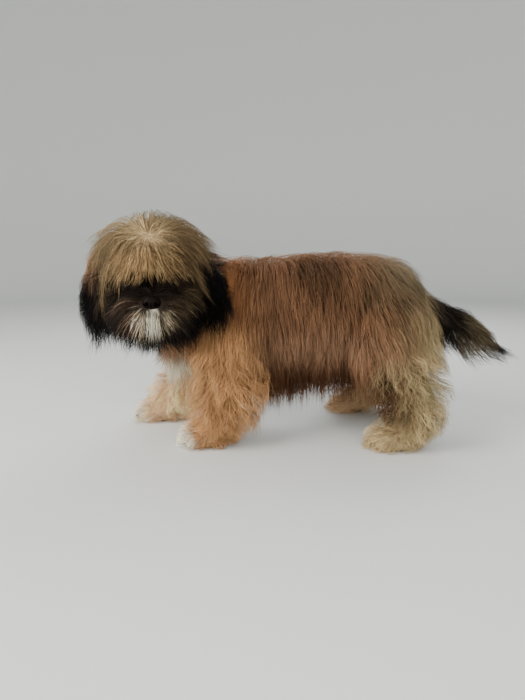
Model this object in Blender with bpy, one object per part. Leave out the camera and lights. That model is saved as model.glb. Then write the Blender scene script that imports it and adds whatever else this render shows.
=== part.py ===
"""A life-size shih tzu puppy that stands with its head turned to its left.

The dog faces -Y, its left side is +X, and the floor is Z = 0. Sizes are in metres.
"""
import math
import random
from typing import NamedTuple

import bmesh
import bpy
from mathutils import Matrix, Vector
from mathutils.bvhtree import BVHTree

# Driving sizes of the whole dog.
GAP = 0.0003
SOLVER = "MANIFOLD"
BODY_VOXEL = 0.0055
HEAD_VOXEL = 0.0026
BODY_SMOOTHING = 8
HEAD_SMOOTHING = 4
BODY_CORE_SHARE = 0.065
HEAD_CORE_SHARE = 0.075
SPAN_STEPS = 4
RING_SIDES = 20

# The body's middle line leans a little: the hips stand further right than the shoulders.
SHOULDER_Y = -0.075
HIP_Y = 0.125
HIP_SHIFT = -0.015

# The head's place and turn. It looks to the dog's left, a little back and down.
HEAD_CENTRE = Vector((0.052, -0.157, 0.203))
HEAD_TURN = math.radians(10)
HEAD_NOD = math.radians(14)
HEAD_TURN_ONLY = Matrix.Rotation(HEAD_TURN, 4, "Z") @ Matrix.Rotation(HEAD_NOD, 4, "Y")
HEAD_INVERSE = (Matrix.Translation(HEAD_CENTRE) @ HEAD_TURN_ONLY).inverted()

EYE_RADIUS = 0.0095
EYE_PLACE = (0.0345, 0.0225, -0.001)
EYE_SEGMENTS = 10
EYE_OUTWARD_TURN = math.radians(14)
LID_THICKNESS = 0.0017
LID_SIDES = 10
LID_FRONT = 0.0066
LID_HALF_WIDE = 0.0088
LID_HALF_HIGH = 0.0064
NOSE_PLACE = (0.0665, 0.0, -0.0125)
NOSE_HALF_SIZES = (0.0060, 0.0092, 0.0070)
NOSTRIL_HALF_SIZES = (0.0040, 0.0019, 0.0024)
MOUTH_HEIGHT = -0.034
JAW_HALF_WIDTH = 0.022
JAW_BACK = 0.014
LIP_THICKNESS = 0.0019
LIP_STEPS = 6
LIP_SPAN = 74
LIP_CENTRE_F = 0.040
PHILTRUM_PLACE = (0.0710, 0.0, -0.0265)
PHILTRUM_HALF_SIZES = (0.0050, 0.0008, 0.0075)

# The ears hang from the sides of the skull, each in its own cell of the head.
EAR_PLANE = 0.0475
EAR_TOP = 0.022
EAR_FRONT = 0.034
EAR_OUTER = 0.100
EAR_LOW = -0.092
EAR_SHIFT = {1: 0.015, -1: 0.000}
EAR_BACK = {1: -0.006, -1: -0.032}
EAR_CORNER = 0.070
EAR_BACKWARD = (-0.60, 0.80)

PAW_TOP = 0.030


class EarRow(NamedTuple):
    """One ring of an ear, in the head's axes: its middle, half width, thickness and bend."""

    f: float
    s: float
    z: float
    half_wide: float
    thick: float
    cup: float


EAR_STEPS = 4
EAR_EDGE_THINNING = 0.55
EAR_ROWS = (
    EarRow(-0.006, 0.0350, 0.0290, 0.0110, 0.0050, 0.0000),
    EarRow(-0.006, 0.0480, 0.0225, 0.0140, 0.0050, 0.0010),
    EarRow(-0.006, 0.0575, 0.0110, 0.0170, 0.0055, 0.0035),
    EarRow(-0.007, 0.0615, -0.0120, 0.0185, 0.0055, 0.0055),
    EarRow(-0.008, 0.0605, -0.0360, 0.0145, 0.0045, 0.0045),
    EarRow(-0.007, 0.0590, -0.0500, 0.0050, 0.0035, 0.0010),
)


class Station(NamedTuple):
    """One ring of a limb: its middle, its half width along X, and its other half size."""

    x: float
    y: float
    z: float
    half_x: float
    half_other: float


TORSO = (
    Station(0.000, -0.120, 0.134, 0.022, 0.030),
    Station(0.000, -0.104, 0.138, 0.033, 0.042),
    Station(0.000, -0.070, 0.147, 0.044, 0.053),
    Station(0.000, -0.020, 0.149, 0.050, 0.054),
    Station(-0.004, 0.030, 0.154, 0.050, 0.052),
    Station(-0.010, 0.080, 0.157, 0.048, 0.049),
    Station(-0.014, 0.116, 0.153, 0.048, 0.046),
    Station(-0.015, 0.140, 0.146, 0.040, 0.038),
    Station(-0.015, 0.153, 0.142, 0.025, 0.025),
)
NECK = (
    Station(0.000, -0.070, 0.158, 0.036, 0.036),
    Station(-0.009, -0.105, 0.168, 0.034, 0.038),
    Station(-0.008, -0.132, 0.180, 0.034, 0.037),
    Station(0.006, -0.150, 0.190, 0.033, 0.034),
    Station(0.026, -0.157, 0.197, 0.030, 0.032),
)
TAIL = (
    Station(-0.015, 0.135, 0.166, 0.013, 0.014),
    Station(-0.015, 0.165, 0.160, 0.011, 0.012),
    Station(-0.015, 0.195, 0.147, 0.011, 0.013),
    Station(-0.015, 0.222, 0.130, 0.010, 0.012),
    Station(-0.015, 0.240, 0.116, 0.007, 0.008),
)


def foreleg(side_x, shoulder_y, wrist_y):
    """The rings of a foreleg from the shoulder down to the wrist."""
    reach = wrist_y - shoulder_y
    return (
        Station(side_x * 0.62, shoulder_y, 0.135, 0.022, 0.030),
        Station(side_x * 0.88, shoulder_y + reach * 0.20, 0.098, 0.023, 0.029),
        Station(side_x, shoulder_y + reach * 0.55, 0.066, 0.021, 0.025),
        Station(side_x, shoulder_y + reach * 0.90, 0.038, 0.020, 0.024),
        Station(side_x, wrist_y, 0.016, 0.020, 0.024),
    )


def hind_leg(hip_x, paw_x, knee_y, hock_y, paw_y):
    """The rings of a hind leg from the thigh down to the heel."""
    return (
        Station(hip_x, knee_y + 0.014, 0.150, 0.024, 0.036),
        Station(hip_x * 0.4 + paw_x * 0.6, knee_y, 0.108, 0.025, 0.034),
        Station(hip_x * 0.1 + paw_x * 0.9, (knee_y + hock_y) / 2, 0.076, 0.023, 0.028),
        Station(paw_x, hock_y, 0.046, 0.020, 0.024),
        Station(paw_x, (paw_y + hock_y) / 2, 0.018, 0.020, 0.022),
    )


class Paw(NamedTuple):
    """A paw's middle on the floor, with its half sizes, and where its toes end."""

    x: float
    y: float
    half_wide: float
    half_long: float
    high: float


FORELEG_LEFT = foreleg(0.046, -0.070, -0.088)
FORELEG_RIGHT = foreleg(-0.049, -0.092, -0.160)
HIND_LEG_LEFT = hind_leg(0.030, 0.057, 0.112, 0.142, 0.120)
HIND_LEG_RIGHT = hind_leg(-0.055, -0.091, 0.100, 0.122, 0.092)
PAW_LEFT = Paw(0.046, -0.103, 0.0215, 0.028, 0.026)
PAW_RIGHT = Paw(-0.049, -0.178, 0.0215, 0.028, 0.026)
HIND_PAW_LEFT = Paw(0.057, 0.116, 0.021, 0.027, 0.025)
HIND_PAW_RIGHT = Paw(-0.091, 0.092, 0.021, 0.027, 0.025)


def clear_scene():
    """Remove every object that the scene starts with."""
    for obj in list(bpy.data.objects):
        bpy.data.objects.remove(obj)


def principled(name, colour, roughness):
    """A Principled material with one colour."""
    material = bpy.data.materials.new(name)
    material.use_nodes = True
    shader = material.node_tree.nodes["Principled BSDF"]
    shader.inputs["Base Color"].default_value = (*colour, 1.0)
    shader.inputs["Roughness"].default_value = roughness
    shader.inputs["Metallic"].default_value = 0.0
    return material


def object_from(name, bm):
    """A scene object that holds this bmesh, with its faces pointing out."""
    bmesh.ops.triangulate(bm, faces=bm.faces)
    bmesh.ops.recalc_face_normals(bm, faces=bm.faces)
    mesh = bpy.data.meshes.new(name)
    bm.to_mesh(mesh)
    bm.free()
    obj = bpy.data.objects.new(name, mesh)
    bpy.context.scene.collection.objects.link(obj)
    return obj


def applied(obj):
    """Turn an object's modifiers into its mesh."""
    graph = bpy.context.evaluated_depsgraph_get()
    mesh = bpy.data.meshes.new_from_object(obj.evaluated_get(graph))
    obj.modifiers.clear()
    obj.data = mesh
    return obj


def catmull(before, a, b, after, t):
    """A point on the smooth curve from a to b."""
    return 0.5 * (
        2 * a
        + (b - before) * t
        + (2 * before - 5 * a + 4 * b - after) * t * t
        + (3 * a - before - 3 * b + after) * t * t * t
    )


def smooth_stations(stations, steps=SPAN_STEPS):
    """The stations with others between them, on one smooth curve."""
    last = len(stations) - 1
    rows = [Vector(station) for station in stations]
    made = []
    for span in range(last):
        ends = rows[max(span - 1, 0)], rows[span], rows[span + 1], rows[min(span + 2, last)]
        made += [catmull(*ends, step / steps) for step in range(steps)]
    return made + [rows[last]]


def ring_points(middle, along, half_x, half_other, sides=RING_SIDES):
    """An ellipse of points round middle, square to along, with its first axis near X."""
    second = along.cross(Vector((1, 0, 0))).normalized()
    first = second.cross(along).normalized()
    turns = [2 * math.pi * side / sides for side in range(sides)]
    return [
        middle + first * (half_x * math.cos(turn)) + second * (half_other * math.sin(turn))
        for turn in turns
    ]


def bridge(bm, rings):
    """Join rings of points with faces, and close both ends."""
    made = [[bm.verts.new(point) for point in ring] for ring in rings]
    for low, high in zip(made, made[1:]):
        count = len(low)
        for i in range(count):
            after = (i + 1) % count
            bm.faces.new((low[i], low[after], high[after], high[i]))
    bm.faces.new(made[0][::-1])
    bm.faces.new(made[-1])


def loft(bm, stations):
    """A limb through its stations, with round ends."""
    rows = smooth_stations(stations)
    middles = [Vector(row[:3]) for row in rows]
    tangents = [
        (middles[min(i + 1, len(rows) - 1)] - middles[max(i - 1, 0)]).normalized()
        for i in range(len(rows))
    ]
    rings = [
        ring_points(middle, tangent, row[3], row[4])
        for middle, tangent, row in zip(middles, tangents, rows)
    ]
    for end, sign in ((0, -1), (-1, 1)):
        caps = []
        for angle in (30, 60, 80):
            size, push = math.cos(math.radians(angle)), math.sin(math.radians(angle))
            reach = 0.6 * min(rows[end][3], rows[end][4]) * push
            caps.append(
                ring_points(
                    middles[end] + tangents[end] * (sign * reach),
                    tangents[end],
                    rows[end][3] * size,
                    rows[end][4] * size,
                )
            )
        rings = caps[::-1] + rings if end == 0 else rings + caps
    bridge(bm, rings)


def ellipsoid(bm, middle, radii, turn=None, segments=24):
    """An ellipsoid with its three radii, turned about its middle."""
    placed = Matrix.Translation(middle) @ (turn or Matrix()) @ Matrix.Diagonal((*radii, 1.0))
    bmesh.ops.create_uvsphere(
        bm, u_segments=segments, v_segments=segments // 2, radius=1.0, matrix=placed
    )


def add_paw(bm, paw):
    """The rounded block of a paw, with the bumps of its four toes in front."""
    ellipsoid(
        bm,
        Vector((paw.x, paw.y, paw.high * 0.42)),
        (paw.half_wide, paw.half_long, paw.high * 0.60),
    )
    for toe in (-1.5, -0.5, 0.5, 1.5):
        forward = 0.66 if abs(toe) < 1 else 0.50
        ellipsoid(
            bm,
            Vector((
                paw.x + toe * paw.half_wide * 0.48,
                paw.y - paw.half_long * forward,
                paw.high * 0.34,
            )),
            (paw.half_wide * 0.30, paw.half_long * 0.42, paw.high * 0.42),
            segments=16,
        )


def fused(name, bm, voxel, smoothing):
    """One smooth closed skin over shapes that overlap."""
    obj = object_from(name, bm)
    remesh = obj.modifiers.new("Fuse", "REMESH")
    remesh.mode = "VOXEL"
    remesh.voxel_size = voxel
    smooth = obj.modifiers.new("Smooth", "SMOOTH")
    smooth.factor = 0.5
    smooth.iterations = smoothing
    return applied(obj)


def build_body():
    """The flesh of the trunk, neck, tail, legs and paws as one skin."""
    bm = bmesh.new()
    limbs = (TORSO, NECK, TAIL, FORELEG_LEFT, FORELEG_RIGHT, HIND_LEG_LEFT, HIND_LEG_RIGHT)
    for limb in limbs:
        loft(bm, limb)
    for paw in (PAW_LEFT, PAW_RIGHT, HIND_PAW_LEFT, HIND_PAW_RIGHT):
        add_paw(bm, paw)
    return fused("body", bm, BODY_VOXEL, BODY_SMOOTHING)


def head_place():
    """The matrix that sets the head, made looking along its own +X, in its pose."""
    return Matrix.Translation(HEAD_CENTRE) @ HEAD_TURN_ONLY


def both_sides(point):
    """A point on the left of the head and its twin on the right."""
    return Vector(point), Vector((point[0], -point[1], point[2]))


def build_head():
    """The flesh of the skull, cheeks, muzzle and jaw as one skin, in the head's own axes."""
    bm = bmesh.new()
    ellipsoid(bm, (-0.004, 0.0, 0.008), (0.048, 0.045, 0.040))
    ellipsoid(bm, (0.018, 0.0, 0.010), (0.029, 0.037, 0.029))
    ellipsoid(bm, (0.048, 0.0, -0.020), (0.022, 0.024, 0.017))
    ellipsoid(bm, (0.036, 0.0, -0.038), (0.025, 0.019, 0.012))
    for cheek in both_sides((0.016, 0.024, -0.018)):
        ellipsoid(bm, cheek, (0.026, 0.021, 0.022))
    for lip in both_sides((0.056, 0.011, -0.024)):
        ellipsoid(bm, lip, (0.016, 0.014, 0.013))
    return fused("head", bm, HEAD_VOXEL, HEAD_SMOOTHING)


def reduced(obj, share):
    """The same skin with fewer faces."""
    decimate = obj.modifiers.new("Reduce", "DECIMATE")
    decimate.ratio = share
    decimate.use_collapse_triangulate = True
    return applied(obj)


def ramp(value, low, high):
    """A smooth step from 0 at low to 1 at high."""
    share = min(max((value - low) / (high - low), 0.0), 1.0)
    return share * share * (3 - 2 * share)


class Plane(NamedTuple):
    """One side of a cell: a point on it and the direction that points out of the cell."""

    point: tuple
    outward: tuple


def cell(planes, matrix=None, grow=0.0, size=0.6):
    """A convex cutter: what lies inside every plane, each moved out by grow."""
    matrix = matrix or Matrix()
    turn = matrix.to_3x3()
    bm = bmesh.new()
    bmesh.ops.create_cube(bm, size=size * 2)
    for plane in planes:
        outward = (turn @ Vector(plane.outward)).normalized()
        point = matrix @ Vector(plane.point) + outward * grow
        whole = bm.verts[:] + bm.edges[:] + bm.faces[:]
        cut = bmesh.ops.bisect_plane(
            bm, geom=whole, plane_co=point, plane_no=outward, clear_outer=True
        )
        rim = [item for item in cut["geom_cut"] if isinstance(item, bmesh.types.BMEdge)]
        if rim:
            bmesh.ops.contextual_create(bm, geom=rim)
    cutter = object_from("cell", bm)
    cutter.hide_render = True
    cutter.display_type = "WIRE"
    return cutter


def boolean(obj, cutter, operation):
    """Apply one Boolean with a single cutter, and remove the cutter."""
    cut = obj.modifiers.new(operation.title(), "BOOLEAN")
    cut.operation = operation
    cut.object = cutter
    cut.solver = SOLVER
    applied(obj)
    bpy.data.objects.remove(cutter)
    return obj


def copy_of(obj, name):
    """A second object with its own mesh."""
    twin = bpy.data.objects.new(name, obj.data.copy())
    bpy.context.scene.collection.objects.link(twin)
    return twin


def volume_of(faces):
    """The volume inside a closed set of faces."""
    total = 0.0
    for face in faces:
        corners = [vert.co for vert in face.verts]
        for second, third in zip(corners[1:], corners[2:]):
            total += corners[0].dot(second.cross(third)) / 6
    return abs(total)


def largest_surface(obj):
    """Keep only the largest closed surface of a mesh."""
    bm = bmesh.new()
    bm.from_mesh(obj.data)
    left = set(bm.faces)
    surfaces = []
    while left:
        found = {left.pop()}
        front = set(found)
        while front:
            edges = {edge for face in front for edge in face.edges}
            front = {face for edge in edges for face in edge.link_faces} & left
            left -= front
            found |= front
        surfaces.append(found)
    keep = max(surfaces, key=volume_of)
    bmesh.ops.delete(bm, geom=[face for face in bm.faces if face not in keep], context="FACES")
    bm.to_mesh(obj.data)
    bm.free()
    return obj


def part_off(whole, name, planes, matrix=None):
    """Take the piece of whole that lies in a cell as its own node, with a thin gap round it."""
    piece = copy_of(whole, name)
    boolean(piece, cell(planes, matrix), "INTERSECT")
    boolean(whole, cell(planes, matrix, grow=GAP), "DIFFERENCE")
    return largest_surface(piece)


def mirrored(planes, middle_x=0.0):
    """The same planes on the dog's other side."""
    return [
        Plane(
            (2 * middle_x - plane.point[0], *plane.point[1:]),
            (-plane.outward[0], *plane.outward[1:]),
        )
        for plane in planes
    ]


def ball(name, middle, radii, segments, matrix=None):
    """An ellipsoid as an object of its own."""
    bm = bmesh.new()
    ellipsoid(bm, middle, radii, segments=segments)
    bm.transform(matrix or Matrix())
    return object_from(name, bm)


def grown_radii(radii, by):
    """Three radii, each longer by the same amount."""
    return tuple(radius + by for radius in radii)


def build_ear(side):
    """A hanging ear, hollow on its inner face, in the head's axes. Side is 1 left, -1 right."""
    bm = bmesh.new()
    rings = []
    for row in EAR_ROWS:
        ring = []
        outer, inner = [], []
        for step in range(EAR_STEPS + 1):
            across = -1 + 2 * step / EAR_STEPS
            bend = row.cup * across * across
            thick = row.thick * (1 - EAR_EDGE_THINNING * across * across)
            f = row.f + EAR_SHIFT[side] + row.half_wide * across
            outer.append(Vector((f, side * (row.s + thick - bend), row.z)))
            inner.append(Vector((f, side * (row.s - bend), row.z)))
        ring = outer + inner[::-1]
        rings.append(ring)
    bridge(bm, rings)
    return object_from("ear", bm)


def build_nose():
    """The leather of the nose, with its two nostrils, in the head's own axes."""
    nose = ball("nose", NOSE_PLACE, NOSE_HALF_SIZES, EYE_SEGMENTS)
    f, _, z = NOSE_PLACE
    for nostril in both_sides((f + NOSE_HALF_SIZES[0] * 0.75, NOSE_HALF_SIZES[1] * 0.46, z - 0.0006)):
        boolean(nose, ball("nostril", nostril, NOSTRIL_HALF_SIZES, 8), "DIFFERENCE")
    return nose


# The cuts between nodes, each given from the inside of the cell that it bounds.
FLOOR_SIDE = Plane((0, 0, 0), (0, 0, -1))
PAW_SIDE = Plane((0, 0, PAW_TOP), (0, 0, 1))
HEAD_CUT = Plane((0.004, -0.136, 0.184), (-0.72, 0.60, -0.35))
NECK_CUT = Plane((0, -0.105, 0.160), (0, 0.75, -0.66))
CHEST_CUT = Plane((0, 0.000, 0), (0, 1, 0))
RUMP_CUT = Plane((0, 0.085, 0), (0, -1, 0))
TAIL_CELL = (Plane((0, 0.176, 0), (0, -1, 0)), Plane((0, 0, 0.075), (0, 0, -1)))
LEG_SLOPE = (-0.50, 0, 0.86)
HALF_SPACE = 0.002


def leg_cell(middle_x, top_z, end_y, facing):
    """The cell of a left leg: under a slope from the belly, off the middle, up to end_y."""
    return [
        Plane((middle_x, 0, top_z), LEG_SLOPE),
        Plane((middle_x + HALF_SPACE, 0, 0), (-1, 0, 0)),
        Plane((0, end_y, 0), (0, facing, 0)),
    ]


LEG_CELLS = {
    "foreleg_left": leg_cell(0.0, 0.078, -0.012, 1),
    "foreleg_right": mirrored(leg_cell(0.0, 0.078, -0.030, 1)),
    "hindleg_left": leg_cell(HIP_SHIFT, 0.085, 0.060, -1),
    "hindleg_right": mirrored(leg_cell(HIP_SHIFT, 0.085, 0.035, -1), HIP_SHIFT),
}


# The coat. Each region of the body has locks of its own length, width and lift off the skin,
# set a distance apart. What hangs lies in the direction that lie_at gives.
LOCK_SHARES = (0.00, 0.20, 0.60, 1.00)
LOCK_THICKNESS = 0.18
ROOT_DEPTH = 0.006
LOCK_PROFILE = (0.66, 1.00, 0.86)
SEED = 38
SAMPLES = 9000
LENGTH_SPREAD = (0.86, 1.14)
DOWN = Vector((0, 0, -1))
SPINE_HALF_WIDTH = 0.030
FLOOR_CLEARANCE = 0.004
LIFT_PACE = 3.5


class Style(NamedTuple):
    """The locks of one region: length, width, lift off the skin, spacing, and how they hang."""

    length: float
    width: float
    lift: float
    spacing: float
    hang: float


STYLES = {
    "back": Style(0.066, 0.042, 0.012, 0.0260, 0.20),
    "flank": Style(0.074, 0.044, 0.012, 0.0385, 0.25),
    "belly": Style(0.032, 0.034, 0.010, 0.0440, 0.30),
    "neck": Style(0.060, 0.040, 0.013, 0.0310, 0.25),
    "bib": Style(0.048, 0.034, 0.015, 0.0290, 0.40),
    "leg": Style(0.046, 0.036, 0.012, 0.0330, 0.15),
    "tail": Style(0.050, 0.025, 0.012, 0.0215, 0.25),
    "crown": Style(0.058, 0.034, 0.015, 0.0200, 0.45),
    "fringe": Style(0.034, 0.022, 0.012, 0.0160, 0.30),
    "cheek": Style(0.038, 0.025, 0.013, 0.0240, 0.45),
    "moustache": Style(0.036, 0.019, 0.009, 0.0180, 0.55),
    "ear": Style(0.042, 0.026, 0.005, 0.0200, 0.60),
    "chin": Style(0.034, 0.018, 0.005, 0.0170, 0.70),
}
WHORL = Vector((0.016, 0.000, 0.044))
FACE_MIDDLE = Vector((0.058, 0.000, -0.010))
EYE_CLEARANCE = 0.0165
NOSE_CLEARANCE = 0.0150
BRIDGE_BACK = 0.041
BRIDGE_HALF_WIDTH = 0.013
FOREHEAD_FRONT = 0.026
EAR_SHADOW = 0.034
EAR_OUTSIDE = 0.0595
CHEST_FRONT_Y = -0.100
TAIL_START_Y = 0.160
BACK_SLOPE = 0.55
BELLY_FLATNESS = -0.75
LEG_TOP = 0.100


def head_region(point):
    """The region of the coat that a point on the head is in, in the head's axes, or None."""
    f, s, z = point
    eyes = both_sides(EYE_PLACE)
    if min((point - eye).length for eye in eyes) < EYE_CLEARANCE:
        return None
    if (point - Vector(NOSE_PLACE)).length < NOSE_CLEARANCE:
        return None
    if f > BRIDGE_BACK and z > NOSE_PLACE[2] and abs(s) < BRIDGE_HALF_WIDTH:
        return None
    if f > JAW_BACK and abs(z - MOUTH_HEIGHT) < 0.006 and abs(s) < JAW_HALF_WIDTH:
        return None
    if f > JAW_BACK and z < MOUTH_HEIGHT and abs(s) < JAW_HALF_WIDTH:
        return "chin"
    widest = max(EAR_ROWS, key=lambda row: row.half_wide)
    ear_middle = widest.f + EAR_SHIFT[1 if s > 0 else -1]
    if abs(s) > EAR_SHADOW and z < EAR_TOP and abs(f - ear_middle) < widest.half_wide:
        return "ear" if abs(s) > EAR_OUTSIDE else None
    if f > 0.038 and z < -0.004:
        return "moustache"
    if z < 0.004:
        return "cheek"
    return "fringe" if f > FOREHEAD_FRONT and z < 0.034 else "crown"


def body_region(point, outward):
    """The region of the coat that a point on the body is in."""
    if point.z < PAW_TOP:
        return None
    if point.y > TAIL_START_Y:
        return "tail"
    if point.z < LEG_TOP and abs(outward.z) < 0.8:
        return "leg"
    if outward.z < BELLY_FLATNESS:
        return "belly"
    if point.y < CHEST_FRONT_Y and point.z < 0.165:
        return "bib"
    if point.y < SHOULDER_Y - 0.012:
        return "neck"
    return "back" if outward.z > BACK_SLOPE else "flank"


def on_head(point):
    """Whether a point is on the head's side of its cut."""
    return (point - Vector(HEAD_CUT.point)).dot(Vector(HEAD_CUT.outward)) < 0


def middle_x(y):
    """Where the spine runs at this y."""
    return HIP_SHIFT * ramp(y, SHOULDER_Y, HIP_Y)


def lie_at(point, region):
    """The way the hair lies at a point, before it is laid along the skin."""
    if region == "ear":
        return HEAD_TURN_ONLY @ Vector((0, 0.2 * math.copysign(1, (HEAD_INVERSE @ point).y), -1))
    if region in ("crown", "fringe", "cheek", "moustache", "chin"):
        local = HEAD_INVERSE @ point
        source = FACE_MIDDLE if region in ("moustache", "chin", "cheek") else WHORL
        away = HEAD_TURN_ONLY @ (local - source).normalized()
        return away + DOWN * (0.50 if region in ("crown", "fringe") else 0.55)
    if region == "tail":
        return Vector((0, 0.80, -0.62))
    if region == "leg":
        return Vector((0, 0.22, -1))
    if region == "bib":
        return Vector((0, -0.35, -1))
    side = point.x - middle_x(point.y)
    parted = max(-1.0, min(1.0, side / SPINE_HALF_WIDTH))
    return Vector((parted * 0.8, 0.35 + 0.6 * (1 - abs(parted)), -1.0))


def laid(direction, outward):
    """A direction turned to run along the skin."""
    return (direction - outward * direction.dot(outward)).normalized()


def lock_path(skin, root, outward, region, style, rng):
    """The points of a lock from its sunk root to its tip, each with the skin's outward way."""
    length = style.length * rng.uniform(*LENGTH_SPREAD)
    lift = style.lift * rng.uniform(0.70, 1.15)
    point = root - outward * ROOT_DEPTH
    heading = (laid(lie_at(root, region), outward) + outward * 0.9).normalized()
    path = [(point, outward)]
    for before, share in zip(LOCK_SHARES, LOCK_SHARES[1:]):
        point = point + heading * (length + ROOT_DEPTH) * (share - before)
        near, out, _, _ = skin.find_nearest(point)
        short = lift * min(1.0, share * LIFT_PACE) - (point - near).dot(out)
        if short > 0:
            point = point + out * short
        elif out.z > -0.2:
            point = point + out * (short * (1 - style.hang))
        point.z = max(point.z, FLOOR_CLEARANCE)
        path.append((point, out))
        lie = laid(lie_at(point, region), out) + DOWN * (style.hang * share)
        heading = (heading * 0.35 + lie).normalized()
    return path


def add_lock(bm, path, style, rng):
    """A flat lock that tapers from its widest part to its tip."""
    curl = rng.uniform(-1, 1) * style.width * 0.35
    width = style.width * rng.uniform(0.88, 1.12)
    rings = []
    for i, (point, outward) in enumerate(path[:-1]):
        along = (path[i + 1][0] - path[max(i - 1, 0)][0]).normalized()
        across = along.cross(outward).normalized()
        up = across.cross(along).normalized()
        middle = point + across * (curl * LOCK_SHARES[i] ** 2)
        half = across * (width * LOCK_PROFILE[i] / 2)
        thick = up * (width * LOCK_PROFILE[i] * LOCK_THICKNESS / 2)
        ring = [middle - half, middle + thick * 2, middle + half]
        rings.append([bm.verts.new(corner) for corner in ring])
    tip = bm.verts.new(path[-1][0] + across * curl)
    bm.faces.new(rings[0][::-1])
    for low, high in zip(rings, rings[1:]):
        for i in range(3):
            after = (i + 1) % 3
            bm.faces.new((low[i], low[after], high[after], high[i]))
    for i in range(3):
        bm.faces.new((rings[-1][i], rings[-1][(i + 1) % 3], tip))


def passes_through_itself(obj):
    """Whether any two faces of a mesh cross that have no corner in common."""
    bm = bmesh.new()
    bm.from_mesh(obj.data)
    bm.faces.ensure_lookup_table()
    corners = [set(vert.index for vert in face.verts) for face in bm.faces]
    tree = BVHTree.FromBMesh(bm)
    bm.free()
    return any(not corners[one] & corners[other] for one, other in tree.overlap(tree))


def scattered_roots(skin_object):
    """Points spread over a skin, each with its outward way, in a random order."""
    rng = random.Random(SEED)
    mesh = skin_object.data
    mesh.calc_loop_triangles()
    corners = [[mesh.vertices[i].co for i in tri.vertices] for tri in mesh.loop_triangles]
    areas = [tri.area for tri in mesh.loop_triangles]
    for chosen in rng.choices(range(len(corners)), weights=areas, k=SAMPLES):
        a, b, c = corners[chosen]
        u, v = rng.random(), rng.random()
        if u + v > 1:
            u, v = 1 - u, 1 - v
        yield a + (b - a) * u + (c - a) * v, mesh.loop_triangles[chosen].normal.copy()


def region_at(point, outward):
    """The region of the coat at a point on the skin, or None where the skin is bare."""
    if on_head(point):
        return head_region(HEAD_INVERSE @ point)
    return body_region(point, outward)


def grow_coat(skin_object):
    """All the locks of the coat over the head and body, each a closed mesh of its own."""
    bm = bmesh.new()
    bm.from_mesh(skin_object.data)
    skin = BVHTree.FromBMesh(bm)
    bm.free()
    coat = bpy.data.collections.new("coat")
    bpy.context.scene.collection.children.link(coat)
    rooted = []
    for number, (root, outward) in enumerate(scattered_roots(skin_object)):
        region = region_at(root, outward)
        if region is None:
            continue
        style = STYLES[region]
        rng = random.Random(number)
        if any((root - other).length < style.spacing for other in rooted):
            continue
        path = lock_path(skin, root, outward, region, style, rng)
        bm = bmesh.new()
        add_lock(bm, path, style, rng)
        lock = object_from("lock", bm)
        if passes_through_itself(lock):
            bpy.data.objects.remove(lock)
            continue
        rooted.append(root)
        bpy.context.scene.collection.objects.unlink(lock)
        coat.objects.link(lock)
    return coat


def fuse_coat(obj, coat):
    """Join every lock of a collection to a body with one union, and remove the collection."""
    join = obj.modifiers.new("Coat", "BOOLEAN")
    join.operation = "UNION"
    join.operand_type = "COLLECTION"
    join.collection = coat
    join.solver = SOLVER
    applied(obj)
    for lock in list(coat.objects):
        bpy.data.objects.remove(lock)
    bpy.data.collections.remove(coat)
    return obj


def head_nodes(whole):
    """Part the jaw, ears, head and neck off the whole dog."""
    head_at = head_place()
    jaw = [
        Plane((0, 0, MOUTH_HEIGHT), (0, 0, 1)),
        Plane((0, 0, EAR_LOW), (0, 0, -1)),
        Plane((0, JAW_HALF_WIDTH, 0), (0, 1, 0)),
        Plane((0, -JAW_HALF_WIDTH, 0), (0, -1, 0)),
        Plane((JAW_BACK, 0, 0), (-1, 0, 0)),
    ]
    part_off(whole, "jaw", jaw, head_at)
    for name, side in (("ear_left", 1), ("ear_right", -1)):
        ear = [
            Plane((0, side * EAR_PLANE, 0), (0, -side, 0)),
            Plane((0, side * EAR_OUTER, 0), (0, side, 0)),
            Plane((0, 0, EAR_TOP), (0, 0, 1)),
            Plane((0, 0, EAR_LOW), (0, 0, -1)),
            Plane((EAR_FRONT, 0, 0), (1, 0, 0)),
            Plane((EAR_BACK[side], 0, 0), (-1, 0, 0)),
            Plane((EAR_BACK[side], side * EAR_CORNER, 0), (EAR_BACKWARD[0], side * EAR_BACKWARD[1], 0)),
        ]
        part_off(whole, name, ear, head_at)
    part_off(whole, "head", [HEAD_CUT])
    part_off(whole, "neck", [NECK_CUT])


def split_body(whole):
    """Part the whole dog at thin cuts into its named nodes."""
    boolean(whole, cell([FLOOR_SIDE]), "INTERSECT")
    head_nodes(whole)
    part_off(whole, "tail", TAIL_CELL)
    for name, leg in LEG_CELLS.items():
        part_off(whole, name.replace("leg", "paw"), [PAW_SIDE, *leg])
        part_off(whole, name, leg)
    part_off(whole, "chest", [CHEST_CUT])
    part_off(whole, "rump", [RUMP_CUT])
    whole.name = "loin"
    largest_surface(whole)


def centred(objects):
    """Move every node so that the middle of their common box stands over the origin."""
    places = [vert.co for obj in objects for vert in obj.data.vertices]
    shift = [-(min(p[axis] for p in places) + max(p[axis] for p in places)) / 2 for axis in (0, 1)]
    for obj in objects:
        obj.data.transform(Matrix.Translation((*shift, 0.0)))


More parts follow.
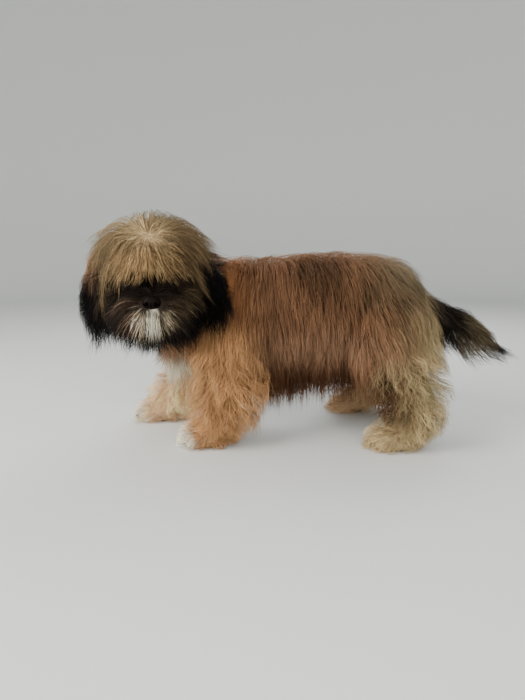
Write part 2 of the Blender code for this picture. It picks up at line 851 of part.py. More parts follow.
COLOURS = {
    "head": (0.42, 0.24, 0.11),
    "jaw": (0.10, 0.06, 0.04),
    "nose": (0.035, 0.025, 0.022),
    "eye": (0.020, 0.012, 0.010),
    "ear": (0.10, 0.05, 0.03),
    "neck": (0.38, 0.19, 0.09),
    "chest": (0.40, 0.21, 0.10),
    "loin": (0.34, 0.19, 0.10),
    "rump": (0.36, 0.23, 0.14),
    "tail": (0.10, 0.08, 0.07),
    "foreleg": (0.50, 0.31, 0.18),
    "hindleg": (0.48, 0.30, 0.18),
    "forepaw": (0.62, 0.45, 0.30),
    "hindpaw": (0.60, 0.44, 0.30),
}
EYE_ROUGHNESS = 0.08
NOSE_ROUGHNESS = 0.35
COAT_ROUGHNESS = 0.75


def dress(obj):
    """Give a node the colour and roughness of what it is made of."""
    kind = obj.name.split("_")[0]
    roughness = {"eye": EYE_ROUGHNESS, "nose": NOSE_ROUGHNESS}.get(kind, COAT_ROUGHNESS)
    obj.data.materials.clear()
    obj.data.materials.append(principled(obj.name, COLOURS[kind], roughness))


def add_lids(head, eye_middle):
    """The rims of the lids round one eye, almond in shape, in the head's axes."""
    side = math.copysign(1, eye_middle.y)
    look = Matrix.Rotation(side * EYE_OUTWARD_TURN, 3, "Z")
    points = []
    for step in range(LID_SIDES):
        turn = 2 * math.pi * step / LID_SIDES
        across = math.cos(turn)
        high = math.copysign(abs(math.sin(turn)) ** 1.2, math.sin(turn))
        local = Vector((LID_FRONT, across * LID_HALF_WIDE, high * LID_HALF_HIGH))
        local.x -= 0.0020 * across * across
        points.append(eye_middle + look @ local)
    boolean(head, closed_tube("lids", points, LID_THICKNESS), "UNION")


def closed_tube(name, points, radius, sides=3):
    """A tube that runs round a ring of points."""
    bm = bmesh.new()
    middle = sum(points, Vector()) / len(points)
    rings = []
    count = len(points)
    for i, point in enumerate(points):
        along = (points[(i + 1) % count] - points[i - 1]).normalized()
        first = (point - middle).cross(along).normalized()
        second = along.cross(first)
        ring = [
            point + first * (radius * math.cos(turn)) + second * (radius * math.sin(turn))
            for turn in (2 * math.pi * side / sides for side in range(sides))
        ]
        rings.append([bm.verts.new(corner) for corner in ring])
    for i, ring in enumerate(rings):
        after = rings[(i + 1) % count]
        for side in range(sides):
            far = (side + 1) % sides
            bm.faces.new((ring[side], ring[far], after[far], after[side]))
    return object_from(name, bm)


def add_lips(head):
    """The rims of the upper and lower lip along the line of the mouth, in the head's axes."""
    bm = bmesh.new()
    bm.from_mesh(head.data)
    skin = BVHTree.FromBMesh(bm)
    bm.free()
    for offset in (LIP_THICKNESS, -LIP_THICKNESS):
        height = MOUTH_HEIGHT + offset
        rings = []
        for step in range(LIP_STEPS + 1):
            turn = math.radians(-LIP_SPAN + 2 * LIP_SPAN * step / LIP_STEPS)
            away = Vector((math.cos(turn), math.sin(turn), 0))
            hit = skin.ray_cast(Vector((LIP_CENTRE_F, 0, height)), away)[0]
            size = LIP_THICKNESS * (1 - 0.6 * (turn / math.radians(LIP_SPAN)) ** 2)
            along = Vector((-away.y, away.x, 0))
            rings.append(ring_points(hit - away * size * 0.35, along, size, size, 4))
        tube = bmesh.new()
        bridge(tube, rings)
        boolean(head, object_from("lip", tube), "UNION")


def build_face(place):
    """The head's skin with its lids, lips, nose and eyes, set in its pose."""
    head = reduced(build_head(), HEAD_CORE_SHARE)
    add_lips(head)
    philtrum = ball("philtrum", PHILTRUM_PLACE, PHILTRUM_HALF_SIZES, 8)
    boolean(head, philtrum, "DIFFERENCE")
    nose = build_nose()
    for name, eye_middle in zip(("eye_left", "eye_right"), both_sides(EYE_PLACE)):
        add_lids(head, eye_middle)
        ball(name, eye_middle, (EYE_RADIUS,) * 3, EYE_SEGMENTS, place)
    for side in (1, -1):
        boolean(head, build_ear(side), "UNION")
    head.data.transform(place)
    nose.data.transform(place)
    return head


def cut_sockets(whole, place):
    """Cut the room for the eyes and the nose out of the head and what falls over it."""
    for eye_middle in both_sides(EYE_PLACE):
        socket = ball("socket", eye_middle, (EYE_RADIUS + GAP,) * 3, EYE_SEGMENTS, place)
        boolean(whole, socket, "DIFFERENCE")
    hole = ball("hole", NOSE_PLACE, grown_radii(NOSE_HALF_SIZES, GAP), EYE_SEGMENTS, place)
    boolean(whole, hole, "DIFFERENCE")


if __name__ == "__main__":
    clear_scene()
    dog = reduced(build_body(), BODY_CORE_SHARE)
    boolean(dog, build_face(head_place()), "UNION")
    fuse_coat(dog, grow_coat(dog))
    cut_sockets(dog, head_place())
    split_body(dog)
    centred(list(bpy.data.objects))
    for node in bpy.data.objects:
        dress(node)
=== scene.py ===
"""A life-size shih tzu puppy with a long soft coat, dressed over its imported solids.

The dog faces -Y, its left side is +X and the floor is Z = 0. All sizes are in metres. The
body is measured in axes of its own, and BODY_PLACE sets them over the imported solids.
"""

import logging
import math
from dataclasses import dataclass, field
from enum import Enum
from typing import ClassVar

import bmesh
import bpy
import numpy as np
from mathutils import Matrix, Vector
from mathutils.bvhtree import BVHTree
from mathutils.kdtree import KDTree


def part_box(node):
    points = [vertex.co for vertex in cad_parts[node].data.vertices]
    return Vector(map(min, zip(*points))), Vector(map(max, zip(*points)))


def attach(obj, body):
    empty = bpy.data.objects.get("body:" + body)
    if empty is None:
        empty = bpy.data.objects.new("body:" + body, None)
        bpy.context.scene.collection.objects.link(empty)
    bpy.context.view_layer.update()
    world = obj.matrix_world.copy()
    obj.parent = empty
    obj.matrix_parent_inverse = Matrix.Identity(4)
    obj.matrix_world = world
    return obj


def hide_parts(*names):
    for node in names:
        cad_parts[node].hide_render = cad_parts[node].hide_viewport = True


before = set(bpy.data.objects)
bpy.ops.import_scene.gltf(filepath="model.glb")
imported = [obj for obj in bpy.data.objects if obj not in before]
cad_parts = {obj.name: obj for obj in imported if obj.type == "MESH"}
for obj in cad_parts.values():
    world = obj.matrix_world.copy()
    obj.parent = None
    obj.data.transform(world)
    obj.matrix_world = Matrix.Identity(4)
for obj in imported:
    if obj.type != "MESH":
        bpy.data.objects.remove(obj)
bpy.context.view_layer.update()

LOG = logging.getLogger("shih_tzu")
BODY = "root"
SEED = 20

# The head's place and turn. It looks to the dog's left, a little back and down.
HEAD_CENTRE = Vector((0.052, -0.157, 0.203))
LOOK_BACK, LOOK_DOWN = math.radians(10), math.radians(14)
HEAD_TURN = Matrix.Rotation(LOOK_BACK, 4, "Z") @ Matrix.Rotation(LOOK_DOWN, 4, "Y")
HEAD_PLACE = Matrix.Translation(HEAD_CENTRE) @ HEAD_TURN
HEAD_INVERSE = HEAD_PLACE.inverted()
EYE_PLACE = Vector((0.0345, 0.0225, -0.001))
EYE_RADIUS = 0.0095
MOUTH_HEIGHT = -0.034
EYE_TURN = math.radians(14)

# The rear swings a little to the dog's right. Forelegs stand before MID_Y, hind legs behind it.
HIND_X = -0.015
MID_Y = 0.02
GAP = 0.0003
DOWN = Vector((0.0, 0.0, -1.0))
MARKINGS = "markings"


def body_place() -> Matrix:
    """Find the shift from the body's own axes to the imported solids.

    Returns:
        A matrix that moves the body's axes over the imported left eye.
    """
    low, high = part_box("eye_left")
    return Matrix.Translation((low + high) / 2 - HEAD_PLACE @ EYE_PLACE)


BODY_PLACE = body_place()


class Region(Enum):
    """The regions of the coat, each with hair of its own kind."""

    CROWN = "crown"
    FRINGE = "fringe"
    MASK = "mask"
    CHEEK = "cheek"
    MOUSTACHE = "moustache"
    BLAZE = "blaze"
    CHIN = "chin"
    EAR = "ear"
    NECK = "neck"
    BIB = "bib"
    BACK = "back"
    FLANK = "flank"
    BELLY = "belly"
    SKIRT = "skirt"
    LEG = "leg"
    PAW = "paw"
    TAIL = "tail"


HEAD_REGIONS = (
    Region.CROWN, Region.FRINGE, Region.MASK, Region.CHEEK, Region.MOUSTACHE, Region.BLAZE,
    Region.CHIN, Region.EAR,
)
TRUNK_REGIONS = (
    Region.NECK, Region.BIB, Region.BACK, Region.FLANK, Region.BELLY, Region.SKIRT,
)
STIFF = (Region.CHEEK, Region.MOUSTACHE, Region.BLAZE, Region.CHIN)
PAINTED_AT_ROOT = (Region.MASK, Region.LEG, Region.PAW, Region.TAIL)
REGIONS = tuple(Region)
REGION_INDEX = {region: index for index, region in enumerate(Region)}


@dataclass(frozen=True)
class Station:
    """One ring of a limb: its middle, its half width along X, and its other half size."""

    x: float
    y: float
    z: float
    half_x: float
    half_other: float

    def row(self, slimmer: float) -> Vector:
        """The ring's five numbers, with its half sizes made less by slimmer."""
        return Vector((self.x, self.y, self.z, self.half_x - slimmer, self.half_other - slimmer))


def is_one_of(numbers: np.ndarray, regions: tuple[Region, ...]) -> np.ndarray:
    """Whether each of many region numbers belongs to one of these regions."""
    return np.isin(numbers, [REGION_INDEX[region] for region in regions])


def read_values(items: bpy.types.bpy_prop_collection, name: str, width: int) -> np.ndarray:
    """One attribute of all items, with one item in each row of the given width."""
    values = np.empty(len(items) * width, np.int32 if name == "vertices" else np.float64)
    items.foreach_get(name, values)
    return values.reshape(-1, width)


def write_markings(mesh: bpy.types.Mesh, colours: np.ndarray) -> None:
    """Store one colour for each point of a mesh, which the finishes read."""
    layer = mesh.attributes.new(MARKINGS, "FLOAT_COLOR", "POINT")
    opaque = np.hstack((colours, np.ones((len(colours), 1))))
    layer.data.foreach_set("color", opaque.astype(np.float32).ravel())


def in_head(points: np.ndarray) -> np.ndarray:
    """Points of the body's axes, one in each row, in the head's axes."""
    return points @ np.array(HEAD_INVERSE.to_3x3()).T + np.array(HEAD_INVERSE.translation)


def ramp(value: float, low: float, high: float) -> float:
    """A smooth step from 0 at low to 1 at high."""
    share = min(max((value - low) / (high - low), 0.0), 1.0)
    return share * share * (3 - 2 * share)


def soft_step(values: np.ndarray, low: float, high: float) -> np.ndarray:
    """A smooth step from 0 at low to 1 at high, for many values."""
    share = np.clip((values - low) / (high - low), 0.0, 1.0)
    return share * share * (3 - 2 * share)


def unit(vectors: np.ndarray) -> np.ndarray:
    """The same vectors, each with a length of 1."""
    return vectors / np.maximum(np.linalg.norm(vectors, axis=-1, keepdims=True), 1e-12)


def wobble(points: np.ndarray, size: float, seed: int) -> np.ndarray:
    """A smooth pattern without a grid, made of crossing waves.

    Args:
        points: Places, one in each row.
        size: The rough distance from one crest to the next.
        seed: Chooses the pattern.

    Returns:
        A value of about -1 to 1 for each place.
    """
    rng = np.random.default_rng(seed)
    waves = 7
    ways = unit(rng.normal(size=(waves, 3))) * (2 * math.pi / size)
    ways = ways * rng.uniform(0.7, 1.4, (waves, 1))
    phases = rng.uniform(0, 2 * math.pi, waves)
    return np.sin(points @ ways.T + phases).sum(axis=1) / math.sqrt(waves)


def linked(name: str, data: bpy.types.ID) -> bpy.types.Object:
    """A new object of some data, put in the scene."""
    obj = bpy.data.objects.new(name, data)
    bpy.context.scene.collection.objects.link(obj)
    return obj


def in_order(obj: bpy.types.Object) -> bpy.types.Object:
    """Put an object's faces in one fixed order, because each run makes them in a new one."""
    faces = [tuple(polygon.vertices) for polygon in obj.data.polygons]
    turned = sorted(face[face.index(min(face)):] + face[:face.index(min(face))] for face in faces)
    mesh = bpy.data.meshes.new(obj.data.name)
    mesh.from_pydata([tuple(vertex.co) for vertex in obj.data.vertices], [], turned)
    obj.data = mesh
    return obj


def object_from(name: str, bm: bmesh.types.BMesh) -> bpy.types.Object:
    """Make a scene object of a bmesh, with its faces pointing out.

    Args:
        name: The object's name.
        bm: The mesh, which is freed.

    Returns:
        The new object.
    """
    bmesh.ops.recalc_face_normals(bm, faces=bm.faces)
    mesh = bpy.data.meshes.new(name)
    bm.to_mesh(mesh)
    bm.free()
    return in_order(linked(name, mesh))


def smoothed(obj: bpy.types.Object) -> None:
    """Shade all faces of an object smooth."""
    obj.data.polygons.foreach_set("use_smooth", [True] * len(obj.data.polygons))


def applied(obj: bpy.types.Object) -> bpy.types.Object:
    """Turn an object's modifiers into its mesh."""
    graph = bpy.context.evaluated_depsgraph_get()
    mesh = bpy.data.meshes.new_from_object(obj.evaluated_get(graph))
    obj.modifiers.clear()
    obj.data = mesh
    return obj


def boolean(obj: bpy.types.Object, cutter: bpy.types.Object, operation: str) -> bpy.types.Object:
    """Apply one Boolean and remove the cutter.

    Args:
        obj: The object to change.
        cutter: The other object, which is removed.
        operation: UNION, DIFFERENCE or INTERSECT.

    Returns:
        The changed object.
    """
    cut = obj.modifiers.new(operation.title(), "BOOLEAN")
    cut.operation = operation
    cut.object = cutter
    cut.solver = "MANIFOLD"
    applied(obj)
    bpy.data.objects.remove(cutter)
    return obj


def fused(name: str, bm: bmesh.types.BMesh, voxel: float, smoothing: int) -> bpy.types.Object:
    """Make one smooth closed skin over shapes that overlap.

    Args:
        name: The object's name.
        bm: The overlapping shapes.
        voxel: The size of the skin's faces.
        smoothing: How many rounds of smoothing it gets.

    Returns:
        The skin.
    """
    obj = object_from(name, bm)
    remesh = obj.modifiers.new("Fuse", "REMESH")
    remesh.mode = "VOXEL"
    remesh.voxel_size = voxel
    smooth = obj.modifiers.new("Smooth", "SMOOTH")
    smooth.factor = 0.5
    smooth.iterations = smoothing
    return applied(obj)


def turns(sides: int) -> list[float]:
    """The angles of the corners of a shape with this many sides."""
    return [2 * math.pi * side / sides for side in range(sides)]


def ring_points(
    middle: Vector, along: Vector, half_x: float, half_other: float, sides: int
) -> list[Vector]:
    """An ellipse of points round a middle, square to a direction, with its first axis near X."""
    second = along.cross(Vector((1, 0, 0))).normalized()
    first = second.cross(along).normalized()
    return [
        middle + first * (half_x * math.cos(t)) + second * (half_other * math.sin(t))
        for t in turns(sides)
    ]


def bridge(bm: bmesh.types.BMesh, rings: list[list[Vector]], closed: bool = False) -> None:
    """Join rings of points with faces.

    Args:
        bm: The mesh to add to.
        rings: The rings, each with the same number of points.
        closed: Whether the last ring joins the first; if not, both ends are capped.
    """
    made = [[bm.verts.new(point) for point in ring] for ring in rings]
    pairs = list(zip(made, made[1:] + made[:1])) if closed else list(zip(made, made[1:]))
    for low, high in pairs:
        for i in range(len(low)):
            after = (i + 1) % len(low)
            bm.faces.new((low[i], low[after], high[after], high[i]))
    if not closed:
        bm.faces.new(made[0][::-1])
        bm.faces.new(made[-1])


def ellipsoid(
    bm: bmesh.types.BMesh, middle: tuple | Vector, radii: tuple, segments: int = 24
) -> None:
    """Add an ellipsoid with its three radii along the axes."""
    placed = Matrix.Translation(middle) @ Matrix.Diagonal((*radii, 1.0))
    bmesh.ops.create_uvsphere(
        bm, u_segments=segments, v_segments=segments // 2, radius=1.0, matrix=placed
    )


def ball(name: str, middle: tuple | Vector, radii: tuple, segments: int) -> bpy.types.Object:
    """Make an ellipsoid as an object of its own."""
    bm = bmesh.new()
    ellipsoid(bm, middle, radii, segments)
    return object_from(name, bm)


def both_sides(point: tuple | Vector) -> tuple[Vector, Vector]:
    """A point on the left of the head and its twin on the right."""
    return Vector(point), Vector((point[0], -point[1], point[2]))


@dataclass(frozen=True)
class Limb:
    """A trunk, neck, tail or leg through its stations, a little slimmer than the solids."""

    stations: tuple[Station, ...]
    slimmer: float
    steps: int = 5
    sides: int = 28
    cap_angles: tuple[int, ...] = (25, 50, 70, 84)
    cap_reach: float = 0.6

    def rows(self) -> list[Vector]:
        """The stations with others between them, on one smooth curve."""
        rows = [station.row(self.slimmer) for station in self.stations]
        last = len(rows) - 1
        made = []
        for span in range(last):
            before, a, b, after = (
                rows[max(span - 1, 0)], rows[span], rows[span + 1], rows[min(span + 2, last)],
            )
            for step in range(self.steps):
                t = step / self.steps
                made.append(0.5 * (
                    2 * a + (b - before) * t
                    + (2 * before - 5 * a + 4 * b - after) * t * t
                    + (3 * a - before - 3 * b + after) * t * t * t
                ))
        return made + [rows[last]]

    def add_to(self, bm: bmesh.types.BMesh) -> None:
        """Add the limb with round ends to a mesh."""
        rows = self.rows()
        middles = [Vector(row[:3]) for row in rows]
        last = len(rows) - 1
        ways = [
            (middles[min(i + 1, last)] - middles[max(i - 1, 0)]).normalized()
            for i in range(last + 1)
        ]
        rings = [
            ring_points(middle, way, row[3], row[4], self.sides)
            for middle, way, row in zip(middles, ways, rows)
        ]
        for end, sign in ((0, -1), (-1, 1)):
            way, half_x, half_other = ways[end], rows[end][3], rows[end][4]
            caps = []
            for angle in self.cap_angles:
                size, push = math.cos(math.radians(angle)), math.sin(math.radians(angle))
                reach = self.cap_reach * min(half_x, half_other) * push * sign
                middle = middles[end] + way * reach
                caps.append(ring_points(middle, way, half_x * size, half_other * size, self.sides))
            rings = caps[::-1] + rings if end == 0 else rings + caps
        bridge(bm, rings)


@dataclass(frozen=True)
class Paw:
    """A paw's middle on the floor, its half sizes and height, and shares of them for its toes."""

    x: float
    y: float
    half_wide: float = 0.0200
    half_long: float = 0.0265
    high: float = 0.0245
    toe_gap: float = 0.48
    inner_reach: float = 0.66
    outer_reach: float = 0.50
    toe_middle: float = 0.34
    toe_radii: tuple[float, float, float] = (0.27, 0.42, 0.40)
    block_middle: float = 0.42
    block_half: float = 0.58

    def toes(self) -> list[tuple[Vector, tuple[float, float, float]]]:
        """The middle and radii of each of the four toes."""
        made = []
        for toe in (-1.5, -0.5, 0.5, 1.5):
            forward = self.inner_reach if abs(toe) < 1 else self.outer_reach
            middle = Vector((
                self.x + toe * self.half_wide * self.toe_gap,
                self.y - self.half_long * forward,
                self.high * self.toe_middle,
            ))
            wide, long, high = self.toe_radii
            made.append((middle, (self.half_wide * wide, self.half_long * long, self.high * high)))
        return made

    def add_to(self, bm: bmesh.types.BMesh) -> None:
        """Add the rounded block of the paw and its toes to a mesh."""
        middle = (self.x, self.y, self.high * self.block_middle)
        ellipsoid(bm, middle, (self.half_wide, self.half_long, self.high * self.block_half))
        for toe, radii in self.toes():
            ellipsoid(bm, toe, radii, 16)


def foreleg(side_x: float, shoulder_y: float, wrist_y: float) -> tuple[Station, ...]:
    """The rings of a foreleg from the shoulder down to the wrist."""
    reach = wrist_y - shoulder_y
    return (
        Station(side_x * 0.62, shoulder_y, 0.135, 0.022, 0.030),
        Station(side_x * 0.88, shoulder_y + reach * 0.20, 0.098, 0.023, 0.029),
        Station(side_x, shoulder_y + reach * 0.55, 0.066, 0.021, 0.025),
        Station(side_x, shoulder_y + reach * 0.90, 0.038, 0.020, 0.024),
        Station(side_x, wrist_y, 0.018, 0.020, 0.024),
    )


def hind_leg(
    hip_x: float, paw_x: float, knee_y: float, hock_y: float, paw_y: float
) -> tuple[Station, ...]:
    """The rings of a hind leg from the thigh down to the heel."""
    return (
        Station(hip_x, knee_y + 0.014, 0.150, 0.024, 0.036),
        Station(hip_x * 0.4 + paw_x * 0.6, knee_y, 0.108, 0.025, 0.034),
        Station(hip_x * 0.1 + paw_x * 0.9, (knee_y + hock_y) / 2, 0.076, 0.023, 0.028),
        Station(paw_x, hock_y, 0.046, 0.020, 0.024),
        Station(paw_x, (paw_y + hock_y) / 2, 0.020, 0.020, 0.022),
    )


TORSO = (
    Station(0.000, -0.120, 0.134, 0.022, 0.030),
    Station(0.000, -0.104, 0.138, 0.033, 0.042),
    Station(0.000, -0.070, 0.147, 0.044, 0.053),
    Station(0.000, -0.020, 0.149, 0.050, 0.054),
    Station(-0.004, 0.030, 0.154, 0.050, 0.052),
    Station(-0.010, 0.080, 0.157, 0.048, 0.049),
    Station(-0.014, 0.116, 0.153, 0.048, 0.046),
    Station(HIND_X, 0.140, 0.146, 0.040, 0.038),
    Station(HIND_X, 0.153, 0.142, 0.025, 0.025),
)
NECK = (
    Station(0.000, -0.070, 0.158, 0.036, 0.036),
    Station(-0.009, -0.105, 0.168, 0.034, 0.038),
    Station(-0.008, -0.132, 0.180, 0.034, 0.037),
    Station(0.006, -0.150, 0.190, 0.033, 0.034),
    Station(0.026, -0.157, 0.197, 0.030, 0.032),
)
TAIL = (
    Station(HIND_X, 0.135, 0.166, 0.013, 0.014),
    Station(HIND_X, 0.165, 0.160, 0.011, 0.012),
    Station(HIND_X, 0.195, 0.147, 0.011, 0.013),
    Station(HIND_X, 0.222, 0.130, 0.010, 0.012),
    Station(HIND_X, 0.240, 0.116, 0.007, 0.008),
)


@dataclass(frozen=True)
class EarRow:
    """One ring of an ear, in the head's axes: its middle, half width, thickness and bend."""

    f: float
    s: float
    z: float
    half_wide: float
    thick: float
    cup: float


@dataclass
class Ear:
    """A hanging ear, hollow on its inner face, in the head's axes."""

    side: int
    shift: float
    rows: tuple[EarRow, ...] = (
        EarRow(-0.006, 0.0350, 0.0280, 0.0100, 0.0045, 0.0000),
        EarRow(-0.006, 0.0480, 0.0215, 0.0130, 0.0042, 0.0010),
        EarRow(-0.006, 0.0572, 0.0105, 0.0160, 0.0042, 0.0035),
        EarRow(-0.007, 0.0612, -0.0120, 0.0175, 0.0040, 0.0055),
        EarRow(-0.008, 0.0602, -0.0350, 0.0135, 0.0036, 0.0022),
        EarRow(-0.007, 0.0588, -0.0480, 0.0050, 0.0028, 0.0010),
    )
    steps: int = 12
    edge_thinning: float = 0.45

    def add_to(self, bm: bmesh.types.BMesh) -> None:
        """Add the ear's flap to a mesh."""
        rings = []
        for row in self.rows:
            outer, inner = [], []
            for step in range(self.steps + 1):
                across = -1 + 2 * step / self.steps
                bend = row.cup * across * across
                thick = row.thick * (1 - self.edge_thinning * across * across)
                f = row.f + self.shift + row.half_wide * across
                outer.append(Vector((f, self.side * (row.s + thick - bend), row.z)))
                inner.append(Vector((f, self.side * (row.s - bend), row.z)))
            rings.append(outer + inner[::-1])
        bridge(bm, rings)


@dataclass
class Face:
    """The lids, lips and sockets of the head, in the head's axes."""

    lid_front: float = 0.0068
    lid_half_wide: float = 0.0087
    lid_half_high: float = 0.0066
    lid_bow: float = 0.0020
    lid_point: float = 1.15
    lid_radius: float = 0.0015
    lid_steps: int = 40
    fold_gap: float = 0.0034
    fold_back: float = 0.0022
    lip_radius: float = 0.0018
    lip_span: float = 74
    lip_steps: int = 28
    lip_centre: float = 0.040

    def lid_ring(self, eye: Vector, wider: float, back: float) -> list[Vector]:
        """The almond line of a lid round one eye, made wider and set back by the given sizes."""
        look = Matrix.Rotation(math.copysign(EYE_TURN, eye.y), 3, "Z")
        points = []
        for turn in turns(self.lid_steps):
            across, up = math.cos(turn), math.sin(turn)
            high = math.copysign(abs(up) ** self.lid_point, up)
            local = Vector((
                self.lid_front - back - self.lid_bow * across * across,
                across * (self.lid_half_wide + wider),
                high * (self.lid_half_high + wider),
            ))
            points.append(eye + look @ local)
        return points

    def add_ring_tube(self, bm: bmesh.types.BMesh, points: list[Vector], radius: float) -> None:
        """Add a round tube that runs along a closed line."""
        middle = sum(points, Vector()) / len(points)
        rings = []
        for i, point in enumerate(points):
            along = (points[(i + 1) % len(points)] - points[i - 1]).normalized()
            first = (point - middle).cross(along).normalized()
            second = along.cross(first)
            rings.append([
                point + (first * math.cos(t) + second * math.sin(t)) * radius for t in turns(8)
            ])
        bridge(bm, rings, closed=True)

    def add_lids(self, bm: bmesh.types.BMesh) -> None:
        """Add the rims of all lids, each with a fold of skin round it."""
        for eye in both_sides(EYE_PLACE):
            self.add_ring_tube(bm, self.lid_ring(eye, 0.0, 0.0), self.lid_radius)
            fold = self.lid_ring(eye, self.fold_gap, self.fold_back)
            self.add_ring_tube(bm, fold, self.lid_radius * 1.1)

    def add_lips(self, bm: bmesh.types.BMesh, head: BVHTree) -> None:
        """Add the rims of the upper and lower lip along the line of the mouth.

        Args:
            bm: The mesh to add to.
            head: The head's shape, which the lips lie on.
        """
        for offset in (self.lip_radius, -self.lip_radius):
            rings = []
            for step in range(self.lip_steps + 1):
                turn = math.radians(-self.lip_span + 2 * self.lip_span * step / self.lip_steps)
                away = Vector((math.cos(turn), math.sin(turn), 0))
                start = Vector((self.lip_centre, 0, MOUTH_HEIGHT + offset))
                hit = head.ray_cast(start, away)[0]
                size = self.lip_radius * (1 - 0.6 * (turn / math.radians(self.lip_span)) ** 2)
                along = Vector((-away.y, away.x, 0))
                rings.append(ring_points(hit - away * size * 0.35, along, size, size, 8))
            bridge(bm, rings)


@dataclass
class Skin:
    """The dog's whole skin as one closed mesh that lies inside the solids."""

    head_voxel: float = 0.00115
    body_voxel: float = 0.0024
    head_slimmer: float = 0.0024
    floor: float = 0.0006
    face: Face = field(default_factory=Face)
    paws: tuple[Paw, ...] = (
        Paw(0.046, -0.103), Paw(-0.049, -0.178), Paw(0.057, 0.116), Paw(-0.091, 0.092),
    )
    limbs: tuple[Limb, ...] = (
        Limb(TORSO, 0.0025),
        Limb(NECK, 0.0025),
        Limb(TAIL, 0.0025),
        Limb(foreleg(0.046, -0.070, -0.088), 0.0022),
        Limb(foreleg(-0.049, -0.092, -0.160), 0.0022),
        Limb(hind_leg(0.030, 0.057, 0.112, 0.142, 0.120), 0.0022),
        Limb(hind_leg(-0.055, -0.091, 0.100, 0.122, 0.092), 0.0022),
    )
    ears: tuple[Ear, ...] = (Ear(1, 0.015), Ear(-1, 0.0))

    def head_shapes(self) -> bmesh.types.BMesh:
        """The overlapping shapes of the skull, cheeks, muzzle and jaw, in the head's axes."""
        bm = bmesh.new()
        less = self.head_slimmer
        ellipsoid(bm, (-0.004, 0.0, 0.008), (0.048 - less, 0.045 - less, 0.040 - less), 40)
        ellipsoid(bm, (0.018, 0.0, 0.010), (0.029 - less, 0.037 - less, 0.029 - less), 32)
        ellipsoid(bm, (0.048, 0.0, -0.020), (0.0215, 0.0235, 0.0165), 32)
        ellipsoid(bm, (0.036, 0.0, -0.038), (0.0245, 0.0185, 0.0115), 32)
        for cheek in both_sides((0.016, 0.024, -0.018)):
            ellipsoid(bm, cheek, (0.026 - less, 0.021 - less, 0.022 - less), 32)
        for lip in both_sides((0.056, 0.011, -0.024)):
            ellipsoid(bm, lip, (0.0155, 0.0135, 0.0125), 32)
        for brow in both_sides((0.034, 0.020, 0.011)):
            ellipsoid(bm, brow, (0.0080, 0.0110, 0.0045), 24)
        return bm

    def build_head(self) -> bpy.types.Object:
        """The head's skin with its lids, lips, ears and sockets, set in its pose."""
        shapes = self.head_shapes()
        tree = BVHTree.FromBMesh(shapes)
        self.face.add_lips(shapes, tree)
        self.face.add_lids(shapes)
        for ear in self.ears:
            ear.add_to(shapes)
        head = fused("skin", shapes, self.head_voxel, 2)
        for eye in both_sides(EYE_PLACE):
            boolean(head, ball("socket", eye, (EYE_RADIUS + GAP,) * 3, 32), "DIFFERENCE")
        philtrum = ball("philtrum", (0.0710, 0.0, -0.0265), (0.0050, 0.0008, 0.0075), 24)
        boolean(head, philtrum, "DIFFERENCE")
        hole = ball("hole", Nose.place, tuple(r + GAP for r in Nose.half_sizes), 32)
        boolean(head, hole, "DIFFERENCE")
        head.data.transform(HEAD_PLACE)
        return head

    def build(self) -> bpy.types.Object:
        """Join the body to the head and cut the soles flat.

        Returns:
            The whole skin, in the body's own axes.
        """
        bm = bmesh.new()
        for limb in self.limbs:
            limb.add_to(bm)
        for paw in self.paws:
            paw.add_to(bm)
        skin = fused("skin", bm, self.body_voxel, 6)
        boolean(skin, self.build_head(), "UNION")
        under = bmesh.new()
        bmesh.ops.create_cube(under, size=1.0)
        under.transform(Matrix.Translation((0, 0, self.floor - 0.5)))
        in_order(boolean(skin, object_from("under", under), "DIFFERENCE"))
        smoothed(skin)
        return skin


@dataclass(frozen=True)
class Hair:
    """How the hair of one region grows.

    Length and width are a strand's; lift is how far the top layer stands off the skin; hang
    is how freely it falls away; gather draws a lock together at its tip; wave and curl are
    the height and length of its waves; fray turns each lock its own way; pace is how soon it
    stands off; dense is how many strands there are, against the rest of the same piece;
    variety and lock_variety are how much the strands and the locks differ in tone; shortest
    is the shortest strand's share of its lock's length.
    """

    length: float
    lift: float
    hang: float
    width: float = 0.00060
    gather: float = 0.45
    wave: float = 0.0010
    curl: float = 0.030
    fray: float = 0.12
    pace: float = 1.6
    dense: float = 1.0
    variety: float = 0.13
    lock_variety: float = 0.05
    shortest: float = 0.62

    def numbers(self) -> list[float]:
        """The numbers that blend smoothly from one region into the next."""
        return [
            self.length, self.lift, self.hang, self.width, self.gather, self.wave, self.curl,
            self.fray, self.pace,
        ]


